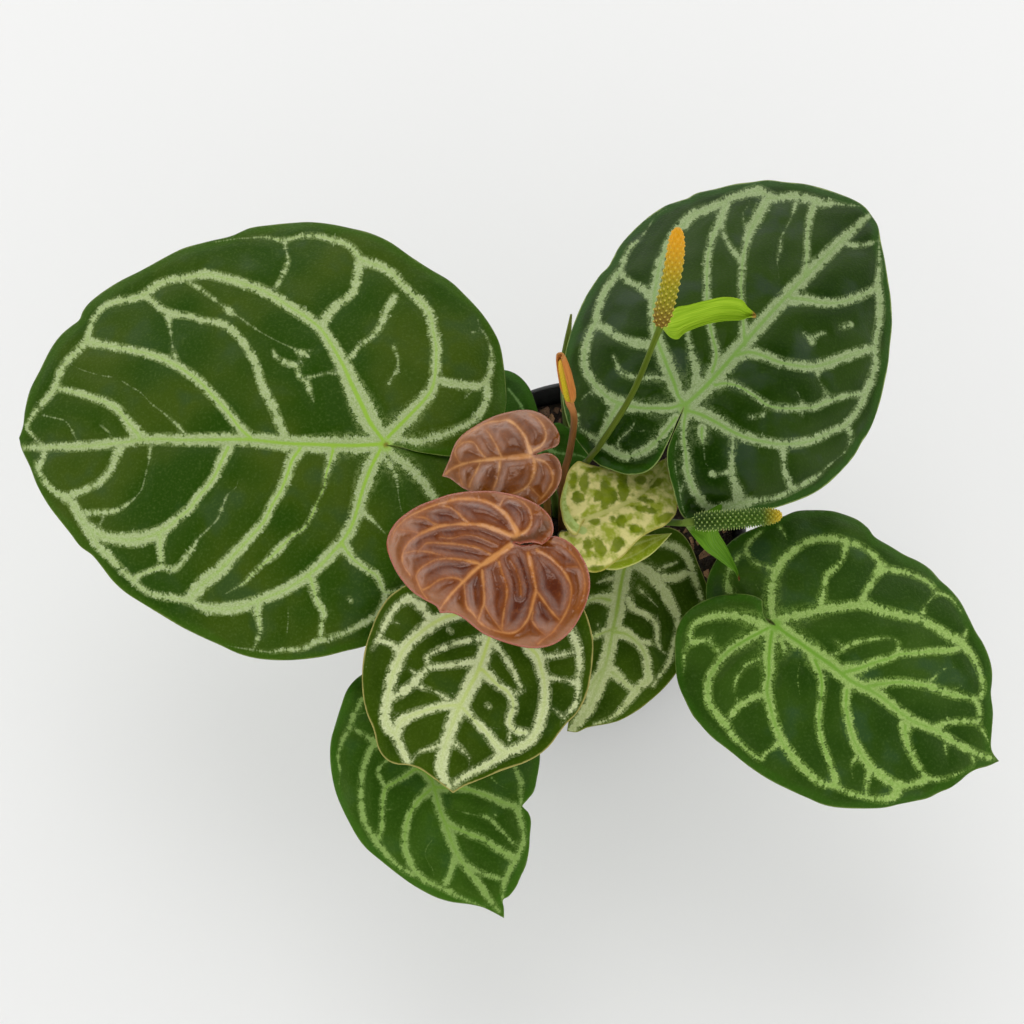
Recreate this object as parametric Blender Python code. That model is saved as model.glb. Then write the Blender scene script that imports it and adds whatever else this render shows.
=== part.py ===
"""A potted anthurium: nursery pot, mix, crown, eleven leaves on stalks, a rolled leaf and three flowers.

Lengths are in millimetres here and in metres in the scene. The pot stands on z = 0, its middle on
x = y = 0, and the plant's front faces -Y.
"""

import math

import bpy
import numpy as np

MM = 0.001

# Pot
POT_HEIGHT = 130.0
POT_TOP_RADIUS = 75.0
POT_BASE_RADIUS = 54.0
POT_WALL = 2.0
POT_FLOOR = 3.0
RIM_BAND = 12.0
RIM_STEP = 2.6
UNDER_RIM = POT_HEIGHT - RIM_BAND
POT_SIDES = 40
DRAIN_HOLES = 6
DRAIN_RADIUS = 4.5
DRAIN_RING = 35.0

# Mix
MIX_TOP = UNDER_RIM
MIX_GAP = 0.4
MIX_RINGS = 5
MIX_SIDES = 28
MIX_ROUGHNESS = 0.8
STALKS_WITHIN = 26.0

# Crown and the stalks that stand round it
CROWN = (-12.0, -6.5)
CROWN_RADIUS = 4.2
CROWN_TOP = 139.0
CROWN_SCALES_FROM = 119.0
CROWN_SCALES = 3
CROWN_SCALE = 6.0
CROWN_SIDES = 12
ROOTED_AT = 104.0
STALK_HOLE_GAP = 0.35
HOLE_SIDES = 10
LEAF_STALK_FOOT = 1.25
FLOWER_STALK_FOOT = 1.15
STALK_SIDES = 8
STALK_STEPS = 11
FLOWER_GAP = 0.6
NECK = 4.0

# Leaf blades
BLADE = 1.0
JOINT_GAP = 0.5
RAYS = 14
RAYS_SMALL = 11
RINGS = (0.3, 0.58, 0.82, 1.0)
RINGS_SMALL = (0.4, 0.75, 1.0)
LOBE_REACH = 40.0
NOTCH_REACH = 28.0
LEAST_TURN = 0.25

# The plant is set out on a drawing seen from high in front. A drawing point and a height give a real point.
VIEW_ELEVATION = math.radians(70.0)
VIEW_DISTANCE = 1200.0
VIEW_FOCAL = 2528.0
DRAWING_MIDDLE = (512.0, 512.0)
RIM_ON_DRAWING = (588.5, 525.4)

# Drawing points round each blade, from one side of the notch past the tip to the other
OUTLINES = {
    "left": [
        (394, 445), (405, 447), (425, 450), (450, 451), (470, 448), (490, 439), (501, 424),
        (506, 405), (506, 388), (504, 367), (500, 345), (492, 328), (480, 311), (465, 295),
        (450, 281), (430, 269), (410, 256), (390, 242), (370, 233), (350, 228), (330, 224),
        (310, 222), (290, 223), (270, 225), (250, 228), (231, 236), (210, 241), (187, 247),
        (175, 252), (160, 260), (140, 271), (120, 281), (104, 291), (90, 302), (83, 311),
        (79, 320), (70, 327), (60, 336), (50, 350), (40, 370), (30, 390), (25, 410),
        (23, 426), (19, 438), (22, 450), (30, 467), (37, 485), (47, 503), (58, 518),
        (70, 533), (80, 546), (92, 555), (102, 567), (112, 580), (125, 592), (142, 603),
        (160, 614), (180, 626), (200, 636), (220, 645), (240, 654), (262, 659), (290, 660),
        (320, 657), (345, 651), (365, 646), (388, 636), (415, 620), (445, 600), (470, 574),
        (490, 545), (500, 517), (501, 492), (493, 472), (478, 461), (455, 456), (430, 454),
        (408, 452), (394, 449),
    ],
    "upper_right": [
        (680, 413), (674, 422), (669, 434), (665, 445), (662, 455), (656, 464), (648, 471),
        (638, 474), (625, 474), (612, 470), (600, 465), (590, 457), (583, 448), (576, 439),
        (571, 431), (566, 417), (563, 402), (562, 388), (563, 372), (566, 350), (571, 332),
        (578, 313), (585, 298), (591, 288), (600, 275), (608, 267), (612, 260), (619, 247),
        (628, 236), (639, 225), (651, 215), (665, 206), (679, 201), (688, 198), (697, 193),
        (715, 189), (735, 184), (752, 182), (768, 180), (785, 182), (805, 184), (825, 189),
        (845, 196), (858, 202), (866, 208), (872, 216), (878, 226), (881, 242), (885, 261),
        (888, 280), (891, 300), (892, 325), (890, 345), (888, 365), (884, 385), (880, 402),
        (874, 420), (868, 433), (862, 442), (854, 456), (841, 471), (826, 485), (810, 495),
        (790, 503), (770, 509), (750, 512), (730, 514), (708, 516), (690, 520), (682, 515),
        (677, 503), (673, 488), (669, 473), (667, 460), (668, 447), (674, 434), (681, 421),
        (686, 413),
    ],
    "right": [
        (765, 625), (748, 625), (730, 621), (715, 613), (707, 601), (706, 588), (709, 574),
        (716, 560), (726, 546), (740, 535), (755, 528), (770, 522), (784, 516), (797, 511),
        (815, 510), (832, 511), (846, 515), (858, 520), (868, 528), (875, 537), (890, 546),
        (905, 555), (918, 561), (930, 569), (940, 580), (950, 589), (960, 601), (968, 616),
        (976, 632), (983, 643), (989, 657), (992, 670), (992, 682), (991, 694), (993, 712),
        (992, 730), (991, 745), (993, 753), (999, 761), (988, 766), (977, 769), (968, 774),
        (960, 781), (950, 788), (940, 792), (928, 798), (915, 801), (900, 804), (880, 808),
        (845, 808), (825, 805), (808, 798), (790, 790), (770, 780), (750, 767), (730, 751),
        (712, 737), (700, 724), (692, 714), (685, 700), (679, 686), (676, 672), (675, 655),
        (675, 640), (678, 626), (686, 613), (699, 603), (714, 597), (730, 594), (745, 594),
        (757, 597), (766, 603), (770, 611), (771, 618),
    ],
    "front": [
        (500, 588), (490, 580), (472, 573), (450, 571), (430, 573), (414, 580), (403, 587),
        (392, 594), (384, 603), (377, 615), (371, 630), (366, 645), (363, 660), (362, 678),
        (363, 696), (367, 714), (373, 728), (376, 740), (379, 750), (386, 759), (396, 764),
        (408, 765), (420, 769), (432, 777), (443, 785), (453, 793), (464, 786), (474, 782),
        (486, 777), (498, 772), (512, 767), (526, 762), (540, 754), (551, 744), (559, 733),
        (567, 723), (576, 714), (583, 703), (588, 690), (591, 674), (593, 656), (593, 640),
        (590, 625), (585, 611), (577, 598), (566, 587), (552, 579), (536, 576), (521, 579),
        (510, 586),
    ],
    "front_low": [
        (411, 716), (405, 700), (396, 684), (383, 674), (369, 672), (357, 678), (347, 690),
        (341, 706), (336, 722), (331, 740), (330, 757), (332, 776), (336, 793), (342, 808),
        (350, 824), (358, 838), (367, 849), (380, 860), (395, 872), (410, 883), (425, 892),
        (438, 898), (452, 902), (468, 904), (482, 907), (493, 912), (504, 918), (504, 909),
        (503, 900), (509, 896), (516, 887), (521, 876), (526, 865), (529, 850), (530, 835),
        (531, 821), (528, 812), (522, 807), (528, 799), (534, 791), (537, 778), (540, 758),
        (538, 738), (530, 718), (516, 702), (498, 692), (477, 690), (456, 696), (438, 706),
        (424, 716),
    ],
    "inner_right": [
        (624, 558), (612, 553), (596, 553), (582, 560), (571, 572), (564, 590), (562, 610),
        (563, 632), (566, 655), (569, 678), (571, 700), (570, 716), (567, 731), (577, 732),
        (586, 728), (594, 726), (606, 724), (618, 721), (630, 715), (641, 708), (652, 699),
        (662, 690), (671, 680), (680, 668), (689, 656), (698, 641), (705, 624), (709, 606),
        (708, 589), (703, 575), (698, 563), (693, 550), (686, 538), (677, 530), (666, 527),
        (655, 529), (645, 535), (637, 545), (633, 554),
    ],
    "pale": [
        (586, 530), (583, 536), (577, 537), (570, 533), (564, 525), (561, 515), (560, 503),
        (562, 492), (565, 482), (568, 472), (573, 465), (579, 461), (588, 464), (600, 467),
        (613, 471), (630, 473), (648, 467), (666, 458), (668, 470), (671, 481), (675, 492),
        (677, 504), (676, 513), (671, 520), (664, 526), (654, 530), (643, 536), (633, 545),
        (624, 555), (612, 564), (602, 571), (590, 572), (580, 566), (570, 556), (562, 545),
        (559, 536), (562, 529), (571, 530), (581, 530),
    ],
    "pale_under": [
        (603, 557), (607, 549), (617, 542), (630, 537), (645, 535), (660, 534), (672, 533),
        (663, 543), (653, 553), (641, 561), (627, 567), (614, 570), (604, 568), (602, 563),
    ],
    "bronze_small": [
        (537, 450), (544, 449), (552, 449), (558, 445), (560, 438), (558, 431), (554, 424),
        (548, 418), (540, 413), (530, 410), (519, 410), (508, 412), (497, 415), (485, 420),
        (473, 427), (463, 434), (456, 442), (452, 451), (449, 460), (445, 469), (442, 476),
        (449, 478), (455, 482), (463, 488), (474, 493), (488, 498), (503, 503), (520, 507),
        (534, 507), (543, 503), (551, 496), (557, 488), (561, 479), (562, 471), (560, 462),
        (556, 456), (550, 452), (543, 452), (537, 455),
    ],
    "bronze": [
        (517, 549), (526, 550), (537, 547), (547, 541), (553, 533), (553, 524), (549, 515),
        (541, 507), (531, 501), (519, 496), (506, 493), (492, 491), (477, 491), (462, 492),
        (447, 495), (433, 500), (420, 505), (408, 512), (398, 520), (391, 529), (387, 539),
        (387, 549), (391, 561), (397, 573), (405, 584), (414, 593), (425, 600), (436, 606),
        (440, 613), (452, 613), (463, 618), (473, 626), (484, 634), (498, 640), (514, 645),
        (530, 648), (545, 647), (558, 642), (570, 632), (579, 619), (586, 604), (590, 588),
        (589, 573), (584, 560), (576, 548), (566, 540), (555, 536), (544, 538), (533, 543),
        (523, 547),
    ],
    "back": [
        (542, 438), (541, 424), (537, 408), (530, 389), (519, 376), (505, 370), (489, 372),
        (474, 380), (462, 394), (455, 412), (451, 432), (450, 452), (449, 474), (470, 480),
        (492, 481), (517, 481), (541, 480), (562, 477), (580, 470), (589, 461), (588, 449),
        (578, 437), (569, 428), (560, 423), (552, 424), (546, 432),
    ],
}

# Drawing points of the stalk's joint and the tip, the joint's height, and the blade's form in millimetres:
# slope is the rise for each millimetre toward the tip and toward the left of that direction, drop is how far
# the tip, the lobes and the sides hang, channel is the rise beside the midrib, wave is the margin's height,
# count and phase, lobes is the rise of the first and the last lobe where they meet, and notch is how far they
# close up there.
LEAVES = {
    "left": dict(
        joint=(386, 445), tip=(19, 438), height=240.0, slope=(-0.10, -0.07), drop=(26, 14, 20),
        channel=3.0, wave=(1.5, 9, 0.4), lobes=(2.5, -2.5), notch=0.05,
    ),
    "upper_right": dict(
        joint=(684, 407), tip=(872, 216), height=262.0, slope=(-0.05, 0.0), drop=(30, 24, 33),
        channel=3.0, wave=(1.3, 10, 1.0), lobes=(0.8, -0.8), notch=0.03,
    ),
    "right": dict(
        joint=(775, 625), tip=(999, 761), height=215.0, slope=(-0.08, 0.0), drop=(24, 3, 14),
        channel=2.5, wave=(1.5, 8, 0.0), lobes=(-4.5, 5.5), notch=0.28,
    ),
    "front": dict(
        joint=(503, 592), tip=(453, 793), height=240.0, slope=(-0.08, 0.0), drop=(16, 6, 7),
        channel=2.5, wave=(1.2, 8, 2.0), lobes=(0.5, -0.5), notch=0.0,
    ),
    "front_low": dict(
        joint=(416, 722), tip=(504, 918), height=200.0, slope=(-0.10, 0.0), drop=(22, 6, 14),
        channel=2.5, wave=(1.5, 8, 0.7), lobes=(0.5, -0.5), notch=0.0,
    ),
    "inner_right": dict(
        joint=(629, 560), tip=(567, 731), height=205.0, slope=(-0.10, 0.0), drop=(16, 4, 8),
        channel=2.5, wave=(1.0, 7, 0.0), lobes=(0.5, -0.5), notch=0.0,
    ),
    "pale": dict(
        joint=(584, 520), tip=(666, 458), height=242.0, slope=(-0.12, 0.0), drop=(4, 2, 2),
        channel=2.5, wave=(0.8, 5, 0.0), lobes=(4.5, -3.5), notch=0.22,
    ),
    "pale_under": dict(
        joint=(606, 560), tip=(672, 533), height=226.0, slope=(-0.10, 0.0), drop=(4, 0, 2),
        channel=1.5, wave=(0.3, 4, 0.0), lobes=(0.3, -0.3), notch=0.0,
    ),
    "bronze_small": dict(
        joint=(533, 455), tip=(442, 476), height=268.0, slope=(-0.12, 0.0), drop=(6, 3, 6),
        channel=2.0, wave=(0.8, 6, 0.0), lobes=(1.0, -1.0), notch=0.06,
    ),
    "bronze": dict(
        joint=(514, 543), tip=(440, 613), height=284.0, slope=(-0.12, 0.0), drop=(10, 3, 8),
        channel=2.5, wave=(1.0, 7, 0.0), lobes=(6.0, -4.0), notch=0.25,
    ),
    "back": dict(
        joint=(540, 446), tip=(449, 474), height=180.0, slope=(-0.20, 0.0), drop=(12, 3, 8),
        channel=2.0, wave=(1.0, 7, 0.0), lobes=(0.5, -0.5), notch=0.06,
    ),
}
SMALL_BLADES = ("pale", "pale_under", "bronze_small", "bronze", "back", "inner_right")

# Where each leaf stalk leaves the mix, its radius, and the points that it bends through on its way up
LEAF_STALKS = {
    "left": ((-20.5, 3.5), 2.3, [(-26, 1, 158), (-45, -3, 196), (-72, -3, 224)]),
    "upper_right": ((0.0, 5.0), 2.2, [(2, 7, 160), (11, 11, 205), (25, 15, 242)]),
    "right": ((0.5, -7.5), 2.1, [(8, -16, 150), (30, -38, 174), (58, -60, 196)]),
    "front": ((-16.5, -14.0), 2.1, [(-19, -22, 158), (-27, -39, 198), (-35, -55, 226)]),
    "front_low": ((-24.0, -12.5), 2.0, [(-32, -28, 142), (-49, -62, 164), (-66, -94, 183)]),
    "inner_right": ((-4.5, -12.5), 1.8, [(-1, -17, 155), (6, -27, 180), (12, -36, 195)]),
    "pale": ((-10.0, -14.5), 1.6, [(-10, -17, 160), (-9, -22, 200), (-7, -31, 227)]),
    "pale_under": ((-5.0, -18.5), 1.5, [(-4, -22, 160), (-1, -28, 190), (1, -34, 207)]),
    "bronze_small": ((-19.0, -2.5), 1.5, [(-21, -4, 190), (-24, -9, 235), (-26, -15, 255)]),
    "bronze": ((-19.0, -8.5), 1.7, [(-20, -14, 175), (-25, -30, 225), (-31, -48, 262)]),
    "back": ((-15.0, 9.5), 1.6, [(-17, 12, 145), (-20, 16, 160), (-22, 19, 170)]),
}

# The rolled leaf: its foot, then the points that it passes, then its radius from foot to tip
ROLLED_LEAF = (
    (-8.0, 9.5),
    [(-8.5, 20, 143), (-9.5, 33, 163), (-11, 46, 183), (-11.5, 58, 199), (-9.5, 71, 215)],
    [1.7, 1.7, 1.9, 2.6, 3.0, 2.3, 0.5],
)

# Flower stalks: where each leaves the mix, its radius, then drawing points with their heights
FLOWER_STALKS = {
    "1": (
        (-5.5, 2.5),
        1.4,
        [(583, 470, 190), (588, 461, 235), (592, 455, 247), (602, 442, 262), (632, 394, 279)],
    ),
    "2": ((-12.5, 1.5), 1.6, [(563, 480, 196), (569, 455, 228), (573, 432, 256), (574, 416, 275)]),
    "3": ((-4.5, -4.5), 1.6, [(594, 533, 150), (624, 523, 188), (664, 522, 222), (680, 523, 240)]),
}

# Spadices: drawing points and heights of the foot, of a point on the way and of the tip, the radius, and the
# rows of florets
SPADICES = {
    "1": (((661, 322, 293), (673, 270, 322), (678, 228, 337)), 3.9, 13),
    "2": (((569, 399, 293), (565, 380, 310), (561, 360, 326)), 1.7, 9),
    "3": (((697, 521, 253), (740, 519, 255), (783, 515, 255)), 3.8, 13),
}
FLORETS_ROUND = 7
FLORET_RELIEF = 0.09

# Spathes: drawing points and heights along the upper and the lower edge, and how far the middle sags
SPATHES = {
    "1": dict(
        upper=[
            (664, 322, 291), (684, 305, 290), (700, 302, 290),
            (723, 296, 289), (743, 301, 287), (757, 314, 285),
        ],
        lower=[
            (663, 330, 289), (677, 341, 284), (693, 333, 283),
            (712, 326, 283), (735, 321, 283), (759, 317, 284),
        ],
        sag=3.0,
    ),
    "3": dict(
        upper=[
            (691, 518, 247), (707, 511, 249), (722, 505, 251),
            (728, 525, 245), (733, 548, 239), (738, 569, 237),
        ],
        lower=[
            (686, 527, 247.5), (697, 541, 245), (706, 551, 243),
            (717, 559, 241), (728, 566, 239), (737, 573, 237),
        ],
        sag=1.0,
    ),
}
SPATHE = 0.9
BUD_WRAP = 2.7
BUD_OPENING = math.radians(110)
BUD_STEPS = 8
BUD_SIDES = 14
SPATHE_STEPS = 9
SPATHE_COLUMNS = 6

# Colour and roughness of each kind of piece, by how its name starts. The first start that fits counts.
FINISHES = {
    "potting_mix": ((0.05, 0.03, 0.018), 0.9),
    "pot": ((0.012, 0.012, 0.013), 0.5),
    "crown": ((0.10, 0.08, 0.03), 0.7),
    "stalk_bronze": ((0.18, 0.06, 0.03), 0.4),
    "stalk": ((0.10, 0.19, 0.04), 0.4),
    "blade_bronze": ((0.19, 0.06, 0.03), 0.3),
    "blade_pale": ((0.36, 0.42, 0.12), 0.4),
    "blade": ((0.03, 0.07, 0.01), 0.4),
    "rolled_leaf": ((0.10, 0.19, 0.04), 0.4),
    "flower_stalk": ((0.16, 0.13, 0.04), 0.4),
    "spathe_2": ((0.42, 0.22, 0.05), 0.4),
    "spathe": ((0.27, 0.42, 0.03), 0.4),
    "spadix": ((0.40, 0.30, 0.03), 0.5),
}


def line_of_sight(px, py):
    """The direction from the eye through a drawing point."""
    across = (px - DRAWING_MIDDLE[0]) / VIEW_FOCAL
    down = (py - DRAWING_MIDDLE[1]) / VIEW_FOCAL
    ahead = math.cos(VIEW_ELEVATION) - math.sin(VIEW_ELEVATION) * down
    rise = -math.sin(VIEW_ELEVATION) - math.cos(VIEW_ELEVATION) * down
    return across, ahead, rise


def real_point(px, py, z):
    """The real point of height z that a drawing point shows. Arrays work as well as single numbers."""
    to_rim = line_of_sight(*RIM_ON_DRAWING)
    eye = [-VIEW_DISTANCE * part for part in to_rim]
    eye[2] += POT_HEIGHT
    across, ahead, rise = line_of_sight(px, py)
    reach = (z - eye[2]) / rise
    return eye[0] + reach * across, eye[1] + reach * ahead, z


def smooth_path(points, steps):
    """Even steps along the smooth curve through the points."""
    pts = np.array(points, float)
    ends = np.vstack([2 * pts[0] - pts[1], pts, 2 * pts[-1] - pts[-2]])
    t = np.linspace(0, 1, 12, endpoint=False)[:, None]
    fine = []
    for a, b, c, d in zip(ends, ends[1:], ends[2:], ends[3:]):
        bend = (2 * a - 5 * b + 4 * c - d) * t**2 + (3 * b - a - 3 * c + d) * t**3
        fine.append(b + 0.5 * ((c - a) * t + bend))
    fine = np.vstack([*fine, pts[-1:]])
    along = np.concatenate([[0], np.cumsum(np.linalg.norm(np.diff(fine, axis=0), axis=1))])
    at = np.linspace(0, along[-1], steps + 1)
    return np.column_stack([np.interp(at, along, column) for column in fine.T])


def soft_step(low, high, value):
    t = np.clip((value - low) / (high - low), 0, 1)
    return t * t * (3 - 2 * t)


def new_object(name, points, faces):
    """A mesh object of points in millimetres."""
    mesh = bpy.data.meshes.new(name)
    mesh.from_pydata([tuple(float(value) * MM for value in point) for point in points], [], faces)
    mesh.validate()
    obj = bpy.data.objects.new(name, mesh)
    bpy.context.scene.collection.objects.link(obj)
    return obj


def cut_away(obj, cutters):
    """Cuts the helper objects from the object, one after another, and removes them."""
    for cutter in cutters:
        cutter.hide_render = True
        cutter.display_type = "WIRE"
        modifier = obj.modifiers.new("cut", "BOOLEAN")
        modifier.operation = "DIFFERENCE"
        modifier.solver = "MANIFOLD"
        modifier.object = cutter
        bpy.context.view_layer.objects.active = obj
        bpy.ops.object.modifier_apply(modifier=modifier.name)
        bpy.data.objects.remove(cutter)


def ring_faces(rows, sides):
    """Faces of a closed body made of a first point, rows of ring points and a last point."""
    end = 1 + rows * sides
    faces = []
    for side in range(sides):
        after = (side + 1) % sides
        faces.append((0, 1 + after, 1 + side))
        for low in range(1, end - sides, sides):
            faces.append((low + side, low + after, low + sides + after, low + sides + side))
        faces.append((end - sides + side, end - sides + after, end))
    return faces


def lathe(name, profile, sides, centre=(0.0, 0.0), wobble=None):
    """A closed solid of revolution. The profile runs from the axis at the bottom round to that at the top."""
    x, y = centre
    points = [(x, y, profile[0][1])]
    for radius, z in profile[1:-1]:
        for side in range(sides):
            turn = 2 * math.pi * side / sides
            grow = wobble(turn, radius, z) if wobble else 0.0
            points.append((x + radius * math.cos(turn), y + radius * math.sin(turn), z + grow))
    points.append((x, y, profile[-1][1]))
    obj = new_object(name, points, ring_faces(len(profile) - 2, sides))
    turn_outward(obj)
    return obj


def frames_along(path):
    """For each point of the path, two directions square to it that turn as little as they can."""
    ahead = np.gradient(path, axis=0)
    ahead /= np.linalg.norm(ahead, axis=1)[:, None]
    side = np.cross(ahead[0], (0.0, 1.0, 0.05))
    for way in ahead:
        side = side - way * side.dot(way)
        side /= np.linalg.norm(side)
        yield side, np.cross(way, side)


def tube(name, path, radii, sides, relief=None):
    """A closed solid round the path. The relief gives the share that the radius grows by."""
    points = [path[0]]
    for step, (side, other) in enumerate(frames_along(path)):
        for turn in np.arange(sides) * 2 * math.pi / sides:
            radius = radii[step] * (1 + (relief(step, turn) if relief else 0.0))
            points.append(path[step] + radius * (math.cos(turn) * side + math.sin(turn) * other))
    points.append(path[-1])
    return new_object(name, points, ring_faces(len(path), sides))


def slab(name, top, bottom, joint=None):
    """A closed sheet between two grids of points, which may meet in a joint, a pair of single points."""
    wide = len(top[0])
    start = 0 if joint is None else 1
    upper = [point for row in top for point in row]
    lower = [point for row in bottom for point in row]
    if joint is not None:
        upper.insert(0, joint[0])
        lower.insert(0, joint[1])
    faces = []
    for column in range(wide - 1):
        if joint is not None:
            faces.append((0, start + column, start + column + 1))
        for near in range(start + column, len(upper) - wide, wide):
            faces.append((near, near + wide, near + wide + 1))
            faces.append((near, near + wide + 1, near + 1))
    first_side = list(range(start, len(upper), wide))
    far_side = list(range(len(upper) - wide + 1, len(upper)))
    last_side = list(range(len(upper) - 1 - wide, start, -wide))
    closing = list(range(wide - 2, 0, -1)) if joint is None else [0]
    edge = first_side + far_side + last_side + closing
    count = len(upper)
    faces += [tuple(corner + count for corner in reversed(face)) for face in faces]
    for here, after in zip(edge, edge[1:] + edge[:1]):
        faces.append((here, here + count, after + count))
        faces.append((here, after + count, after))
    obj = new_object(name, upper + lower, faces)
    turn_outward(obj)
    return obj


def flat_sheet(name, rows, thickness, joint=None):
    """A closed sheet whose underside is its top moved straight down."""
    down = np.array((0.0, 0.0, thickness))
    pair = None if joint is None else (np.array(joint), np.array(joint) - down)
    return slab(name, rows, [row - down for row in rows], pair)


def turn_outward(obj):
    """Turns every face round where the closed mesh faces inward."""
    mesh = obj.data
    volume = 0.0
    for polygon in mesh.polygons:
        corners = [mesh.vertices[index].co for index in polygon.vertices]
        for second, third in zip(corners[1:], corners[2:]):
            volume += corners[0].dot(second.cross(third))
    if volume < 0:
        mesh.flip_normals()


def blade_outline(key, rays):
    """The turn of each ray round the blade, counted from the tip, and its length on the drawing."""
    leaf = LEAVES[key]
    points = OUTLINES[key]
    tip = points.index(leaf["tip"])
    outline = np.vstack([smooth_path(points[: tip + 1], rays), smooth_path(points[tip:], rays)[1:]])
    out = outline - np.array(leaf["joint"], float)
    turn = np.unwrap(np.arctan2(out[:, 1], out[:, 0]))
    turn = turn - turn[rays]
    # Each ray turns on from the one before it, so that the blade doesn't fold on itself by the notch.
    growing = np.sign(turn[-1])
    least = LEAST_TURN / rays * np.arange(rays + 1)
    turn[rays:] = growing * (np.maximum.accumulate(growing * turn[rays:] - least) + least)
    first = np.maximum.accumulate(-growing * turn[rays::-1] - least) + least
    turn[: rays + 1] = -growing * first[::-1]
    return turn, np.hypot(out[:, 0], out[:, 1])


def blade_height(key, px, py, turn, reach):
    """The height of the blade's top at a drawing point."""
    leaf = LEAVES[key]
    x0, y0, _ = real_point(*leaf["joint"], leaf["height"])
    x1, y1, _ = real_point(*leaf["tip"], leaf["height"])
    length = math.hypot(x1 - x0, y1 - y0)
    axis = ((x1 - x0) / length, (y1 - y0) / length)

    def local(qx, qy):
        x, y, _ = real_point(qx, qy, leaf["height"])
        return (x - x0) * axis[0] + (y - y0) * axis[1], (y - y0) * axis[0] - (x - x0) * axis[1]

    border = local(*np.array(OUTLINES[key], float).T)
    half = np.abs(border[1]).max()
    back = max(-border[0].min(), 1.0)
    along, across = local(px, py)
    away = np.hypot(along, across)
    tip_drop, lobe_drop, side_drop = leaf["drop"]
    z = leaf["height"] + leaf["slope"][0] * along + leaf["slope"][1] * across
    z = z - tip_drop * np.clip(along / length, 0, None) ** 2
    z = z - lobe_drop * np.clip(-along / back, 0, None) ** 2
    z = z - side_drop * (across / half) ** 2
    near_joint = np.minimum(1, away / LOBE_REACH)
    z = z + leaf["channel"] * (1 - np.exp(-np.abs(across) / 7)) * near_joint
    high, count, phase = leaf["wave"]
    z = z + high * np.sin(count * turn + phase) * reach**3 * near_joint
    first_turn = blade_outline(key, 2)[0][0]
    lift = np.where(turn * first_turn > 0, *leaf["lobes"])
    return z + lift * soft_step(math.radians(120), math.radians(178), np.abs(turn)) * near_joint


def blade_rows(key, rays, rings):
    """Real points of the blade's top: a row for each ring, a point on it for each ray from the joint."""
    leaf = LEAVES[key]
    turn, size = blade_outline(key, rays)
    jx, jy = leaf["joint"]
    to_tip = math.atan2(leaf["tip"][1] - jy, leaf["tip"][0] - jx)
    rows = []
    for reach in rings:
        closing = 1 - leaf["notch"] * np.clip(1 - size * reach / NOTCH_REACH, 0, 1)
        angle = to_tip + turn * closing
        px = jx + size * reach * np.cos(angle)
        py = jy + size * reach * np.sin(angle)
        z = blade_height(key, px, py, turn, reach)
        rows.append(np.column_stack(real_point(px, py, z)))
    return rows


def blade(key):
    rays, rings = (RAYS_SMALL, RINGS_SMALL) if key in SMALL_BLADES else (RAYS, RINGS)
    joint = real_point(*LEAVES[key]["joint"], LEAVES[key]["height"])
    return flat_sheet(f"blade_{key}", blade_rows(key, rays, rings), BLADE, joint)


def stalk_path(foot, points, steps=STALK_STEPS):
    x, y = foot
    straight = [(x, y, ROOTED_AT), (x, y, MIX_TOP + 6)]
    upright = smooth_path([straight[1], *points], steps - 1)
    return np.vstack([straight[:1], upright])


def leaf_stalk(key):
    foot, radius, bends = LEAF_STALKS[key]
    leaf = LEAVES[key]
    x, y, z = real_point(*leaf["joint"], leaf["height"])
    last = np.array(bends[-1], float)
    lean = math.hypot(x - last[0], y - last[1]) / math.dist((x, y, z), last)
    top = (x, y, z - BLADE - JOINT_GAP - radius * (lean + abs(leaf["slope"][0])))
    path = stalk_path(foot, [*bends, top])
    radii = np.linspace(radius * LEAF_STALK_FOOT, radius * 0.9, len(path))
    radii[-2:] = radius
    return tube(f"stalk_{key}", path, radii, STALK_SIDES)


def flower_stalk(number):
    foot, radius, points = FLOWER_STALKS[number]
    top, after = smooth_path([real_point(*point) for point in SPADICES[number][0]], 20)[:2]
    way = (after - top) / np.linalg.norm(after - top)
    path = stalk_path(foot, [*(real_point(*point) for point in points), top - NECK * way])
    path = np.vstack([path, top - FLOWER_GAP * way])
    radii = np.linspace(radius * FLOWER_STALK_FOOT, radius * 0.9, len(path))
    return tube(f"flower_stalk_{number}", path, radii, STALK_SIDES)


def spadix(number):
    ends, radius, rows = SPADICES[number]
    steps = 2 * rows
    path = smooth_path([real_point(*point) for point in ends], steps)
    part = np.linspace(0, 1, len(path))
    radii = radius * np.minimum(1, 0.78 + 2 * part) * np.sqrt(1 - 0.93 * part**5)

    def florets(step, turn):
        return FLORET_RELIEF * math.cos(math.pi * step) * math.cos(FLORETS_ROUND * turn)

    return tube(f"spadix_{number}", path, radii, 2 * FLORETS_ROUND, florets)


def spathe(number):
    edges = SPATHES[number]
    upper = smooth_path([real_point(*point) for point in edges["upper"]], SPATHE_STEPS)
    lower = smooth_path([real_point(*point) for point in edges["lower"]], SPATHE_STEPS)
    rows = []
    for across in np.linspace(0, 1, SPATHE_COLUMNS):
        row = upper + (lower - upper) * across
        row[:, 2] -= edges["sag"] * 4 * across * (1 - across)
        rows.append(row)
    return flat_sheet(f"spathe_{number}", rows, SPATHE)


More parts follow.
